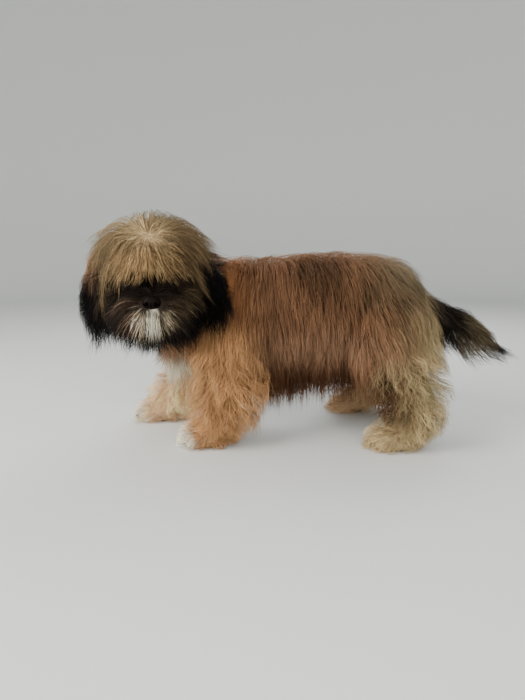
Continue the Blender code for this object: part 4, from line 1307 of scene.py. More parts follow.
@dataclass
class Coat:
    """All the hair of the dog, as thin tapered strands in locks.

    Locks stand lock_spacing apart, closer on the head and paws, chosen from many samples.
    Strands reach up to the longest share of their lock, lie in layers, start their waves
    about phase_spread apart, and stray by fuzz as a whole and by kink from ring to ring; a
    few fly away further. The blur is how far colours spread, for hair painted along its
    length and for the rest. Broad tones vary over broad_size, and lightest limits how light
    a lock gets. The unwrap turns round the middles and axes that stand last.
    """

    skin: bpy.types.Object
    markings: Markings
    coat_map: CoatMap = field(default_factory=CoatMap)
    lock_spacing: float = 0.0052
    samples: int = 26000
    patch: float = 0.003
    close_up: float = 0.72
    longest: float = 1.06
    top_layer: float = 1.03
    layers: float = 0.36
    deep_layers: float = 0.70
    phase_spread: float = 0.35
    fuzz: float = 0.0011
    kink: float = 0.0004
    flyaways: float = 0.025
    flyaway_reach: float = 3.0
    clearance: tuple[float, float] = (0.0004, 0.0016)
    widths: tuple[float, float] = (0.75, 1.25)
    taper_at: tuple[float, ...] = (0, 0.25, 0.6, 1.0)
    taper: tuple[float, ...] = (0.75, 1.0, 0.85, 0.35)
    flatness: float = 0.65
    blur: tuple[float, float] = (0.0040, 0.0020)
    # Share of a strand's colour at its root: painted shade among the hairs.
    root_painted_shade: float = 0.84
    colour_range: tuple[float, float] = (0.002, 0.93)
    broad_size: float = 0.035
    broad_tone: float = 0.15
    lightest: float = 1.7
    head_middle: tuple[float, float, float] = (0.010, 0.0, -0.004)
    trunk_middle: tuple[float, float] = (-0.006, 0.150)
    leg_axes: tuple[tuple[float, float], ...] = (
        (-0.091, 0.100), (0.057, 0.120), (-0.049, -0.140), (0.046, -0.085),
    )
    tri_points: np.ndarray = field(init=False)
    tri_normals: np.ndarray = field(init=False)
    tri_area: np.ndarray = field(init=False)
    tri_region: np.ndarray = field(init=False)
    tri_piece: np.ndarray = field(init=False)
    tufts: Tufts = field(init=False)
    kd: KDTree = field(init=False)
    tuft_phase: np.ndarray = field(init=False)
    tuft_tone: np.ndarray = field(init=False)

    def read_skin(self) -> None:
        """Note the corners, normals, areas and regions of the skin's triangles."""
        mesh = self.skin.data
        mesh.calc_loop_triangles()
        count = len(mesh.loop_triangles)
        index = read_values(mesh.loop_triangles, "vertices", 3)
        self.tri_points = read_values(mesh.vertices, "co", 3)[index]
        self.tri_normals = read_values(mesh.vertices, "normal", 3)[index]
        self.tri_area = read_values(mesh.loop_triangles, "area", 1).ravel()
        middles = self.tri_points.mean(axis=1)
        outward = unit(self.tri_normals.mean(axis=1))
        self.tri_region = np.full(count, -1)
        self.tri_piece = np.full(count, -1)
        pieces = list(CoatPiece)
        for i in range(count):
            region = self.coat_map.region(Vector(middles[i]), Vector(outward[i]))
            if region is not None:
                self.tri_region[i] = REGION_INDEX[region]
                self.tri_piece[i] = pieces.index(CoatPiece.of(region, middles[i][1]))

    def solid_tree(self) -> BVHTree:
        """A search tree of the skin with the eyes and nose in place, for the hair to lie on."""
        bm = bmesh.new()
        for eye in both_sides(EYE_PLACE):
            ellipsoid(bm, eye, (EYE_RADIUS,) * 3, 24)
        ellipsoid(bm, Nose.place, Nose.half_sizes, 24)
        bm.transform(HEAD_PLACE)
        hard = object_from("hard", bm)
        whole = bmesh.new()
        whole.from_mesh(hard.data)
        whole.from_mesh(self.skin.data)
        tree = BVHTree.FromBMesh(whole)
        whole.free()
        bpy.data.objects.remove(hard)
        return tree

    def scattered(
        self, weights: np.ndarray, count: int, rng: np.random.Generator
    ) -> tuple[np.ndarray, np.ndarray, np.ndarray]:
        """Spread roots over the skin.

        Args:
            weights: How likely each triangle is to be chosen.
            count: How many roots there are.
            rng: The source of random numbers.

        Returns:
            The roots, their outward ways and the numbers of their regions.
        """
        chosen = rng.choice(len(weights), size=count, p=weights / weights.sum())
        u, v = rng.random(count), rng.random(count)
        over = u + v > 1
        u[over], v[over] = 1 - u[over], 1 - v[over]
        mix = np.stack((1 - u - v, u, v), axis=1)[:, :, None]
        roots = (self.tri_points[chosen] * mix).sum(axis=1)
        outward = unit((self.tri_normals[chosen] * mix).sum(axis=1))
        return roots, outward, self.tri_region[chosen]

    def plant_tufts(self) -> None:
        """Choose evenly spaced roots for the locks, closer on the head and paws, and grow them."""
        rng = np.random.default_rng(SEED)
        weights = np.where(self.tri_region >= 0, self.tri_area, 0.0)
        head = is_one_of(self.tri_region, HEAD_REGIONS)
        weights = weights * np.where(head, 2.0, 1.0)
        roots, outward, regions = self.scattered(weights, self.samples, rng)
        close = (*HEAD_REGIONS, Region.PAW)
        cells: dict[tuple[int, int, int], list[int]] = {}
        keep = []
        for i, root in enumerate(roots):
            spacing = self.lock_spacing * (self.close_up if REGIONS[regions[i]] in close else 1.0)
            cell = tuple(int(c // self.lock_spacing) for c in root)
            around = [
                j
                for dx in (-1, 0, 1) for dy in (-1, 0, 1) for dz in (-1, 0, 1)
                for j in cells.get((cell[0] + dx, cell[1] + dy, cell[2] + dz), ())
            ]
            if around and np.min(np.linalg.norm(roots[around] - root, axis=1)) < spacing:
                continue
            cells.setdefault(cell, []).append(i)
            keep.append(i)
        self.tufts = Tufts(self.coat_map, self.solid_tree())
        self.tufts.grow(roots[keep], outward[keep], regions[keep])
        self.kd = KDTree(len(keep))
        for i, root in enumerate(self.tufts.roots):
            self.kd.insert(root, i)
        self.kd.balance()

    def leaders_of(self, root: np.ndarray, region: int) -> tuple[list[int], list[float]]:
        """The three nearest locks of the same kind, ear or not, and the weight of each."""
        ear = region == REGION_INDEX[Region.EAR]
        found = self.kd.find_n(root, 7)
        same = [n for n in found if (self.tufts.regions[n[1]] == REGION_INDEX[Region.EAR]) == ear]
        chosen = ((same or found) * 3)[:3]
        weights = [1 / (distance + 0.0015) ** 2 for _, _, distance in chosen]
        return [index for _, index, _ in chosen], [weight / sum(weights) for weight in weights]

    def strand_paths(
        self, roots: np.ndarray, regions: np.ndarray, rings: int, rng: np.random.Generator
    ) -> tuple[np.ndarray, np.ndarray, np.ndarray]:
        """Lead each strand between its nearest locks, drawn to the nearest at its tip.

        Args:
            roots: Where the strands are rooted.
            regions: The number of each root's region.
            rings: How many rings a strand has, not counting its tip.
            rng: The source of random numbers.

        Returns:
            The strands' points, their widths and the index of each one's nearest lock.
        """
        count = len(roots)
        found = [self.leaders_of(root, region) for root, region in zip(roots, regions)]
        leaders = np.array([pair[0] for pair in found])
        weights = np.array([pair[1] for pair in found])
        share = np.linspace(0, 1, rings + 1)
        shortest = hair_values("shortest")[regions]
        length = shortest + (self.longest - shortest) * rng.random(count)
        scaled = share[None, :] * length[:, None] * self.tufts.steps
        low = np.minimum(scaled.astype(int), self.tufts.steps - 1)
        part = (scaled - low)[:, :, None]
        moved = self.tufts.paths - self.tufts.roots[:, None, :]

        def along_lock(lines: np.ndarray, number: int) -> np.ndarray:
            """The values of each strand's lock of this number, at the strand's own rings."""
            lock = leaders[:, number][:, None]
            return lines[lock, low] * (1 - part) + lines[lock, low + 1] * part

        shares = weights[:, :, None, None]
        line = sum(along_lock(moved, k) * shares[:, k] for k in range(3)) + roots[:, None, :]
        outs = unit(sum(along_lock(self.tufts.outs, k) * shares[:, k] for k in range(3)))
        numbers = (self.tufts.numbers[leaders] * weights[:, :, None]).sum(axis=1)
        full, lift, _, width, gather, wave, curl, _, _ = np.split(numbers, 9, axis=1)
        drawn = (gather * (scaled / self.tufts.steps) ** 1.3)[:, :, None]
        points = line + (along_lock(self.tufts.paths, 0) - line) * drawn
        deep = is_one_of(regions, (Region.BACK, Region.CROWN))[:, None]
        depth = np.where(deep, self.deep_layers, self.layers)
        layer = self.top_layer - depth * rng.random((count, 1)) ** 1.6
        sunk = lift * (layer - 1) * soft_step(share, 0.0, 0.4)[None, :]
        points = points + outs * sunk[:, :, None]
        across = unit(np.cross(outs, unit(line[:, -1:] - line[:, :1])))
        reach = share[None, :] * length[:, None] * full
        stray = rng.normal(0, self.phase_spread, (count, 1))
        swing = 2 * math.pi * reach / curl + (self.tuft_phase[leaders[:, 0]][:, None] + stray)
        high = (wave * np.minimum(share * 2.5, 1.0)[None, :])[:, :, None]
        points = points + across * high * np.sin(swing)[:, :, None]
        points = points + outs * high * 0.6 * np.cos(swing * 0.9)[:, :, None]
        points = self.strayed(points, share, rng)
        self.clear_skin(points, rng)
        width = width[:, 0] * rng.uniform(*self.widths, count) * (1.45 - 0.55 * layer[:, 0])
        return points, width, leaders[:, 0]

    def strayed(
        self, points: np.ndarray, share: np.ndarray, rng: np.random.Generator
    ) -> np.ndarray:
        """Lead each strand a little astray towards its tip, and a few much further.

        Args:
            points: The strands' points.
            share: How far along a strand each of its rings is.
            rng: The source of random numbers.

        Returns:
            The new points.
        """
        count, rings = points.shape[:2]
        fuzz = rng.normal(size=(count, 1, 3)) * self.fuzz
        fuzz = fuzz + rng.normal(size=(count, rings, 3)) * self.kink
        flyaway = np.where(rng.random(count) < self.flyaways, self.flyaway_reach, 1.0)
        return points + fuzz * flyaway[:, None, None] * share[None, :, None]

    def clear_skin(self, points: np.ndarray, rng: np.random.Generator) -> None:
        """Push every point of the strands, but for their roots, out of the skin and the floor."""
        clear = rng.uniform(*self.clearance, len(points))
        nearest = self.tufts.tree.find_nearest
        for i in range(len(points)):
            for k in range(1, points.shape[1]):
                point = Vector(points[i, k])
                near, out, _, _ = nearest(point)
                short = clear[i] - (point - near).dot(out)
                if short > 0:
                    points[i, k] = point + out * short
        points[:, :, 2] = np.maximum(points[:, :, 2], self.tufts.floor * 0.5)

    def strand_colours(
        self, roots: np.ndarray, regions: np.ndarray, leaders: np.ndarray,
        points: np.ndarray, rng: np.random.Generator,
    ) -> np.ndarray:
        """Colour every ring of every strand.

        Args:
            roots: Where the strands are rooted.
            regions: The number of each root's region.
            leaders: The index of each strand's lock.
            points: The strands' points.
            rng: The source of random numbers.

        Returns:
            A colour for each point of each strand.
        """
        count, rings = points.shape[:2]
        along = ~is_one_of(regions, PAINTED_AT_ROOT)[:, None, None]
        spots = np.where(along, points, roots[:, None, :])
        spots = spots + rng.normal(0, 1, (count, 1, 3)) * np.where(along, *self.blur)
        base = self.markings.at(spots.reshape(-1, 3), np.repeat(regions, rings))
        base = base.reshape(count, rings, 3)
        lock = self.tuft_tone[leaders]
        own = rng.normal(0, 1, count) * hair_values("variety")[regions]
        share = np.linspace(0, 1, rings)[None, :, None]
        # Painted shade: each strand is darker at its root and lightens towards its tip.
        tone = self.root_painted_shade + 0.18 * soft_step(share, 0.0, 0.50) + 0.06 * share
        return np.clip(base * np.exp(lock + own)[:, None, None] * tone, *self.colour_range)

    def unwrap(self, roots: np.ndarray, piece: CoatPiece) -> np.ndarray:
        """Each root's place on an unwrap of the skin under its piece.

        Args:
            roots: Where the strands are rooted.
            piece: The piece that they belong to.

        Returns:
            A place between 0 and 1 for each root.
        """
        if piece in (CoatPiece.CROWN, CoatPiece.FACE, CoatPiece.BEARD, CoatPiece.EARS):
            way = unit(in_head(roots) - self.head_middle)
            u = np.arctan2(way[:, 1], way[:, 0]) / (2 * math.pi) + 0.5
            v = np.arcsin(np.clip(way[:, 2], -1, 1)) / math.pi + 0.5
        elif piece in (CoatPiece.FORELEGS, CoatPiece.HIND_LEGS, CoatPiece.PAWS):
            left = roots[:, 0] > (0.0 if piece is CoatPiece.FORELEGS else HIND_X)
            front = roots[:, 1] < MID_Y
            chart = left.astype(int) + 2 * front.astype(int)
            x, y = np.array(self.leg_axes)[chart].T
            turn = np.arctan2(roots[:, 1] - y, roots[:, 0] - x) / (2 * math.pi) + 0.5
            u = (chart + 0.02 + 0.96 * turn) / 4
            v = roots[:, 2] / 0.16
        else:
            x, z = self.trunk_middle
            turn = np.arctan2(roots[:, 2] - z, roots[:, 0] - x)
            u = turn / (2 * math.pi) + 0.5
            v = (roots[:, 1] + 0.17) / 0.43
        return np.clip(np.stack((u, v), axis=1), 0.004, 0.996)

    def strand_mesh(
        self, name: str, points: np.ndarray, width: np.ndarray, outward: np.ndarray,
        colours: np.ndarray, places: np.ndarray,
    ) -> bpy.types.Object:
        """Make one mesh of many closed strands with three sides.

        Args:
            name: The piece's name.
            points: The strands' points, in the body's axes.
            width: The strands' widths.
            outward: The skin's outward way at each root.
            colours: A colour for each point of each strand.
            places: Each root's place on the unwrap.

        Returns:
            The piece.
        """
        count, rings = len(points), points.shape[1] - 1
        along = np.empty_like(points)
        along[:, 1:-1] = points[:, 2:] - points[:, :-2]
        along[:, 0], along[:, -1] = points[:, 1] - points[:, 0], points[:, -1] - points[:, -2]
        along = unit(along)[:, :-1]
        first = unit(np.cross(np.broadcast_to(outward[:, None, :], along.shape), along))
        second = np.cross(along, first)
        share = np.arange(rings) / rings
        taper = np.interp(share, self.taper_at, self.taper)
        half = (width[:, None] * taper[None, :] / 2)[:, :, None, None]
        angles = np.arange(3) * 2 * math.pi / 3 + math.pi / 2
        corner = (
            first[:, :, None, :] * np.cos(angles)[None, None, :, None]
            + second[:, :, None, :] * (self.flatness * np.sin(angles))[None, None, :, None]
        )
        body = points[:, :-1, None, :] + corner * half
        verts = np.concatenate((body.reshape(count, rings * 3, 3), points[:, -1:, :]), axis=1)
        hues = np.concatenate((np.repeat(colours[:, :-1], 3, axis=1), colours[:, -1:]), axis=1)
        across = np.tile(np.array((-0.5, 0.0, 0.5)), rings)
        height = np.repeat(share - 0.5, 3)
        spot = np.stack((np.append(across, 0.0), np.append(height, 0.5)), axis=1) * self.patch
        uv = places[:, None, :] + spot[None, :, :]
        faces, sizes = self.strand_faces(rings)
        per = rings * 3 + 1
        index = (np.array(faces)[None, :] + (np.arange(count) * per)[:, None]).ravel()
        totals = np.tile(np.array(sizes), count)
        mesh = bpy.data.meshes.new(name)
        mesh.vertices.add(count * per)
        mesh.vertices.foreach_set("co", verts.ravel())
        mesh.loops.add(len(index))
        mesh.loops.foreach_set("vertex_index", index.astype(np.int32))
        mesh.polygons.add(len(totals))
        starts = np.concatenate(((0,), np.cumsum(totals)[:-1]))
        mesh.polygons.foreach_set("loop_start", starts.astype(np.int32))
        mesh.polygons.foreach_set("use_smooth", np.ones(len(totals), bool))
        mesh.update(calc_edges=True)
        layer = mesh.uv_layers.new(name="OFBake")
        layer.data.foreach_set("uv", uv.reshape(-1, 2)[index].astype(np.float32).ravel())
        write_markings(mesh, hues.reshape(-1, 3))
        mesh.transform(BODY_PLACE)
        return linked(name, mesh)

    @staticmethod
    def strand_faces(rings: int) -> tuple[list[int], list[int]]:
        """The corners of a strand's faces, one after the other, and how many each face has."""
        faces, sizes = [2, 1, 0], [3]
        for ring in range(rings - 1):
            low, high = ring * 3, ring * 3 + 3
            for i in range(3):
                after = (i + 1) % 3
                faces += [low + i, low + after, high + after, high + i]
                sizes.append(4)
        last = (rings - 1) * 3
        for i in range(3):
            faces += [last + i, last + (i + 1) % 3, rings * 3]
            sizes.append(3)
        return faces, sizes

    def grow_piece(self, number: int, piece: CoatPiece) -> bpy.types.Object:
        """Grow one piece of the coat.

        Args:
            number: The piece's number, which seeds its random draws.
            piece: Which piece it is.

        Returns:
            The piece's mesh object.
        """
        name, _, count, rings = piece.value
        rng = np.random.default_rng(SEED + 1 + number)
        dense = hair_values("dense")
        weights = np.where(self.tri_piece == number, self.tri_area, 0.0)
        weights = weights * np.where(self.tri_region >= 0, dense[self.tri_region], 0.0)
        roots, outward, regions = self.scattered(weights, count, rng)
        points, width, leaders = self.strand_paths(roots, regions, rings, rng)
        colours = self.strand_colours(roots, regions, leaders, points, rng)
        return self.strand_mesh(name, points, width, outward, colours, self.unwrap(roots, piece))

    def vary_tufts(self) -> None:
        """Give each lock a phase for its waves and a tone of its own."""
        rng = np.random.default_rng(SEED + 500)
        count = len(self.tufts.roots)
        self.tuft_phase = rng.uniform(0, 2 * math.pi, count)
        broad = wobble(self.tufts.roots, self.broad_size, 7) * self.broad_tone
        varied = hair_values("lock_variety")[self.tufts.regions]
        drawn = rng.normal(0, 1, count)
        skewed = np.minimum(drawn + 0.45 * (drawn**2 - 1), self.lightest)
        self.tuft_tone = skewed * varied + broad

    def build(self, finish: bpy.types.Material) -> list[bpy.types.Object]:
        """Grow the whole coat.

        Args:
            finish: The material of the hair.

        Returns:
            The pieces of the coat.
        """
        self.read_skin()
        self.plant_tufts()
        self.vary_tufts()
        LOG.info("locks: %d", len(self.tufts.roots))
        pieces = []
        for number, piece in enumerate(CoatPiece):
            obj = self.grow_piece(number, piece)
            obj.data.materials.append(finish)
            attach(obj, BODY)
            LOG.info("%s: %d faces", obj.name, len(obj.data.polygons))
            pieces.append(obj)
        return pieces


class NodeTree:
    """A short way to add nodes and links to a shader or geometry tree."""

    def __init__(self, tree: bpy.types.NodeTree) -> None:
        """Work on this tree."""
        self.tree = tree

    def add(self, kind: str, inputs: dict | None = None, **settings: object) -> bpy.types.Node:
        """Add a node.

        Args:
            kind: The node's type.
            inputs: A value or a socket for each input, by name or number.
            settings: The node's own settings.

        Returns:
            The node.
        """
        node = self.tree.nodes.new(kind)
        for name, value in settings.items():
            setattr(node, name, value)
        self.feed(node, inputs or {})
        return node

    def feed(self, node: bpy.types.Node, inputs: dict) -> None:
        """Give a node's inputs a value or a socket each, by name or number."""
        for name, value in inputs.items():
            if isinstance(value, bpy.types.NodeSocket):
                self.tree.links.new(value, node.inputs[name])
            else:
                node.inputs[name].default_value = value


def new_material(name: str) -> tuple[bpy.types.Material, NodeTree, bpy.types.Node]:
    """Make a material with a Principled shader.

    Args:
        name: The material's name.

    Returns:
        The material, its tree and its Principled node.
    """
    material = bpy.data.materials.new(name)
    material.use_nodes = True
    return material, NodeTree(material.node_tree), material.node_tree.nodes["Principled BSDF"]


def mottle_group() -> bpy.types.NodeTree:
    """Build the shared group that varies a colour and roughness over a surface.

    Returns:
        The group, with inputs Colour, Size, Spread and Roughness, and outputs Colour,
        Roughness and Height.
    """
    group = bpy.data.node_groups.new("Mottle", "ShaderNodeTree")
    socket = group.interface.new_socket
    socket("Colour", in_out="INPUT", socket_type="NodeSocketColor")
    for name in ("Size", "Spread", "Roughness"):
        socket(name, in_out="INPUT", socket_type="NodeSocketFloat")
    socket("Colour", in_out="OUTPUT", socket_type="NodeSocketColor")
    for name in ("Roughness", "Height"):
        socket(name, in_out="OUTPUT", socket_type="NodeSocketFloat")
    tree = NodeTree(group)
    given = tree.add("NodeGroupInput").outputs
    place = tree.add("ShaderNodeTexCoord").outputs["Object"]
    scale = tree.add("ShaderNodeMath", {0: 1.0, 1: given["Size"]}, operation="DIVIDE")
    noise = tree.add("ShaderNodeTexNoise", {
        "Vector": place, "Scale": scale.outputs[0], "Detail": 3.0,
    })
    centred = tree.add("ShaderNodeMath", {0: noise.outputs["Fac"], 1: 0.5}, operation="SUBTRACT")
    swing = tree.add(
        "ShaderNodeMath", {0: centred.outputs[0], 1: given["Spread"]}, operation="MULTIPLY"
    )
    bright = tree.add("ShaderNodeMath", {0: swing.outputs[0], 1: 1.0}, operation="ADD")
    tinted = tree.add(
        "ShaderNodeVectorMath", {0: given["Colour"], "Scale": bright.outputs[0]}, operation="SCALE"
    )
    rough = tree.add(
        "ShaderNodeMath", {0: swing.outputs[0], 1: given["Roughness"]}, operation="ADD"
    )
    held = tree.add("ShaderNodeClamp", {"Value": rough.outputs[0], "Min": 0.05, "Max": 0.95})
    tree.add("NodeGroupOutput", {
        "Colour": tinted.outputs[0], "Roughness": held.outputs[0], "Height": noise.outputs["Fac"],
    })
    return group


@dataclass(frozen=True)
class Finish:
    """A softly mottled finish, of one shade or, where it has none, of the dog's markings."""

    name: str
    shade: Shade | None
    size: float
    spread: float
    roughness: float
    specular: float = 0.5

    def relief(self, tree: NodeTree, varied: bpy.types.Node) -> dict:
        """The shader's inputs for the relief of the surface, which is smooth here."""
        return {}

    def build(self, mottle: bpy.types.NodeTree) -> bpy.types.Material:
        """Make the material.

        Args:
            mottle: The shared group that varies colour and roughness.

        Returns:
            The material.
        """
        material, tree, shader = new_material(self.name)
        if self.shade is None:
            colour = tree.add("ShaderNodeAttribute", attribute_name=MARKINGS).outputs["Color"]
        else:
            colour = (*self.shade.array(), 1.0)
        varied = tree.add("ShaderNodeGroup", {
            "Colour": colour, "Size": self.size, "Spread": self.spread,
            "Roughness": self.roughness,
        }, node_tree=mottle)
        tree.feed(shader, {
            "Base Color": varied.outputs["Colour"], "Roughness": varied.outputs["Roughness"],
            "Specular IOR Level": self.specular, **self.relief(tree, varied),
        })
        return material


@dataclass(frozen=True)
class SkinFinish(Finish):
    """The finish of the skin, with shallow bumps where its mottle is light."""

    strength: float = 0.3
    depth: float = 0.001

    def relief(self, tree: NodeTree, varied: bpy.types.Node) -> dict:
        """The shader's inputs for the shallow bumps."""
        bump = tree.add("ShaderNodeBump", {
            "Height": varied.outputs["Height"], "Strength": self.strength, "Distance": self.depth,
        })
        return {"Normal": bump.outputs["Normal"]}


@dataclass(frozen=True)
class LeatherFinish(Finish):
    """The finish of the nose: dark, moist and pebbled."""

    pebble: float = 0.0009
    strength: float = 0.55
    depth: float = 0.0004

    def relief(self, tree: NodeTree, varied: bpy.types.Node) -> dict:
        """The shader's inputs for the pebbles."""
        place = tree.add("ShaderNodeTexCoord").outputs["Object"]
        cells = tree.add("ShaderNodeTexVoronoi", {"Vector": place, "Scale": 1 / self.pebble})
        bump = tree.add("ShaderNodeBump", {
            "Height": cells.outputs["Distance"], "Strength": self.strength, "Distance": self.depth,
        }, invert=True)
        return {"Normal": bump.outputs["Normal"]}


HAIR_FINISH = Finish("hair", None, 0.004, 0.35, 0.50, 0.07)
SKIN_FINISH = SkinFinish("skin", None, 0.003, 0.5, 0.62, 0.10)
LEATHER = LeatherFinish("nose_leather", Shade(0.0042, 0.0024, 0.0021), 0.004, 0.5, 0.46, 0.05)
HORN = Finish("horn", Shade(0.10, 0.075, 0.060), 0.003, 0.6, 0.4)
LASH_HAIR = Finish("lash_hair", Shade(0.020, 0.015, 0.012), 0.003, 0.6, 0.4)
WHISKER_HAIR = Finish("whisker_hair", Shade(0.030, 0.024, 0.018), 0.003, 0.6, 0.4)


@dataclass
class Nose:
    """The leather of the nose, with its two nostrils, as a piece of its own."""

    place: ClassVar[tuple[float, float, float]] = (0.0665, 0.0, -0.0125)
    half_sizes: ClassVar[tuple[float, float, float]] = (0.0060, 0.0092, 0.0070)
    nostril: tuple[float, float, float] = (0.0042, 0.0019, 0.0025)

    @classmethod
    def covers(cls, point: Vector, share: float) -> bool:
        """Whether a point in the head's axes is within a share of the nose's own sizes."""
        away = sum(((point[i] - cls.place[i]) / cls.half_sizes[i]) ** 2 for i in range(3))
        return away < share * share

    def build(self, finish: bpy.types.Material) -> bpy.types.Object:
        """Make the nose.

        Args:
            finish: The leather.

        Returns:
            The piece.
        """
        nose = ball("nose_leather", self.place, self.half_sizes, 40)
        f, _, z = self.place
        deep, wide, _ = self.half_sizes
        at = (f + deep * 0.75, wide * 0.46, z - 0.0006)
        for middle in both_sides(at):
            boolean(nose, ball("nostril", middle, self.nostril, 24), "DIFFERENCE")
            slit = middle + Vector((-0.001, math.copysign(0.0022, middle.y), -0.0012))
            boolean(nose, ball("slit", slit, (0.0040, 0.0026, 0.0008), 20), "DIFFERENCE")
        groove = ball("groove", (f + deep, 0.0, z - 0.003), (0.0016, 0.0006, 0.0052), 20)
        in_order(boolean(nose, groove, "DIFFERENCE"))
        nose.data.transform(BODY_PLACE @ HEAD_PLACE)
        smoothed(nose)
        nose.data.materials.clear()
        nose.data.materials.append(finish)
        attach(nose, BODY)
        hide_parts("nose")
        return nose


@dataclass
class Eyes:
    """The two eyes: dark wet balls, with rings of colour at shares of the way to the front."""

    segments: int = 48
    roughness: float = 0.12
    rings: tuple[tuple[float, Shade], ...] = (
        (0.62, Shade(0.10, 0.06, 0.05)),
        (0.68, Shade(0.012, 0.007, 0.005)),
        (0.74, Shade(0.060, 0.026, 0.011)),
        (0.89, Shade(0.060, 0.026, 0.011)),
        (0.93, Shade(0.004, 0.003, 0.003)),
    )

    def finish(self, name: str, middle: Vector, turn: float) -> bpy.types.Material:
        """Make one eye's material, centred on its middle and turned along its sight."""
        material, tree, shader = new_material(name)
        place = tree.add("ShaderNodeTexCoord").outputs["Object"]
        moved = tree.add("ShaderNodeVectorMath", {0: place, 1: tuple(middle)}, operation="SUBTRACT")
        sight = (HEAD_TURN @ Vector((math.cos(turn), math.sin(turn), 0.0))).normalized()
        front = tree.add(
            "ShaderNodeVectorMath", {0: moved.outputs[0], 1: tuple(sight)},
            operation="DOT_PRODUCT",
        )
        depth = tree.add(
            "ShaderNodeMath", {0: front.outputs["Value"], 1: EYE_RADIUS}, operation="DIVIDE"
        )
        noise = tree.add("ShaderNodeTexNoise", {
            "Vector": moved.outputs[0], "Scale": 900.0, "Detail": 2.0,
        })
        jitter = tree.add(
            "ShaderNodeMath", {0: noise.outputs["Fac"], 1: 0.04, 2: depth.outputs[0]},
            operation="MULTIPLY_ADD",
        )
        colours = tree.add("ShaderNodeValToRGB", {"Fac": jitter.outputs[0]})
        stops = colours.color_ramp.elements
        for index, (position, shade) in enumerate(self.rings):
            stop = stops[index] if index < 2 else stops.new(position)
            stop.position, stop.color = position, (*shade.array(), 1.0)
        tree.feed(shader, {
            "Base Color": colours.outputs["Color"], "Roughness": self.roughness,
            "Coat Weight": 1.0, "Coat Roughness": 0.03,
        })
        return material

    def build(self) -> list[bpy.types.Object]:
        """Make both eyes."""
        made = []
        for name, eye in zip(("left", "right"), both_sides(EYE_PLACE)):
            obj = ball(f"eyeball_{name}", eye, (EYE_RADIUS - GAP / 2,) * 3, self.segments)
            obj.data.transform(BODY_PLACE @ HEAD_PLACE)
            smoothed(obj)
            middle = BODY_PLACE @ HEAD_PLACE @ eye
            turn = math.copysign(EYE_TURN, eye.y)
            obj.data.materials.append(self.finish(f"eye_{name}", middle, turn))
            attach(obj, BODY)
            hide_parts(f"eye_{name}")
            made.append(obj)
        return made


@dataclass(frozen=True)
class Spike:
    """The sizes of one kind of horn spike: claws, whiskers or lashes."""

    length: float
    thickness: float
    droop: float
    sides: int
    segments: int


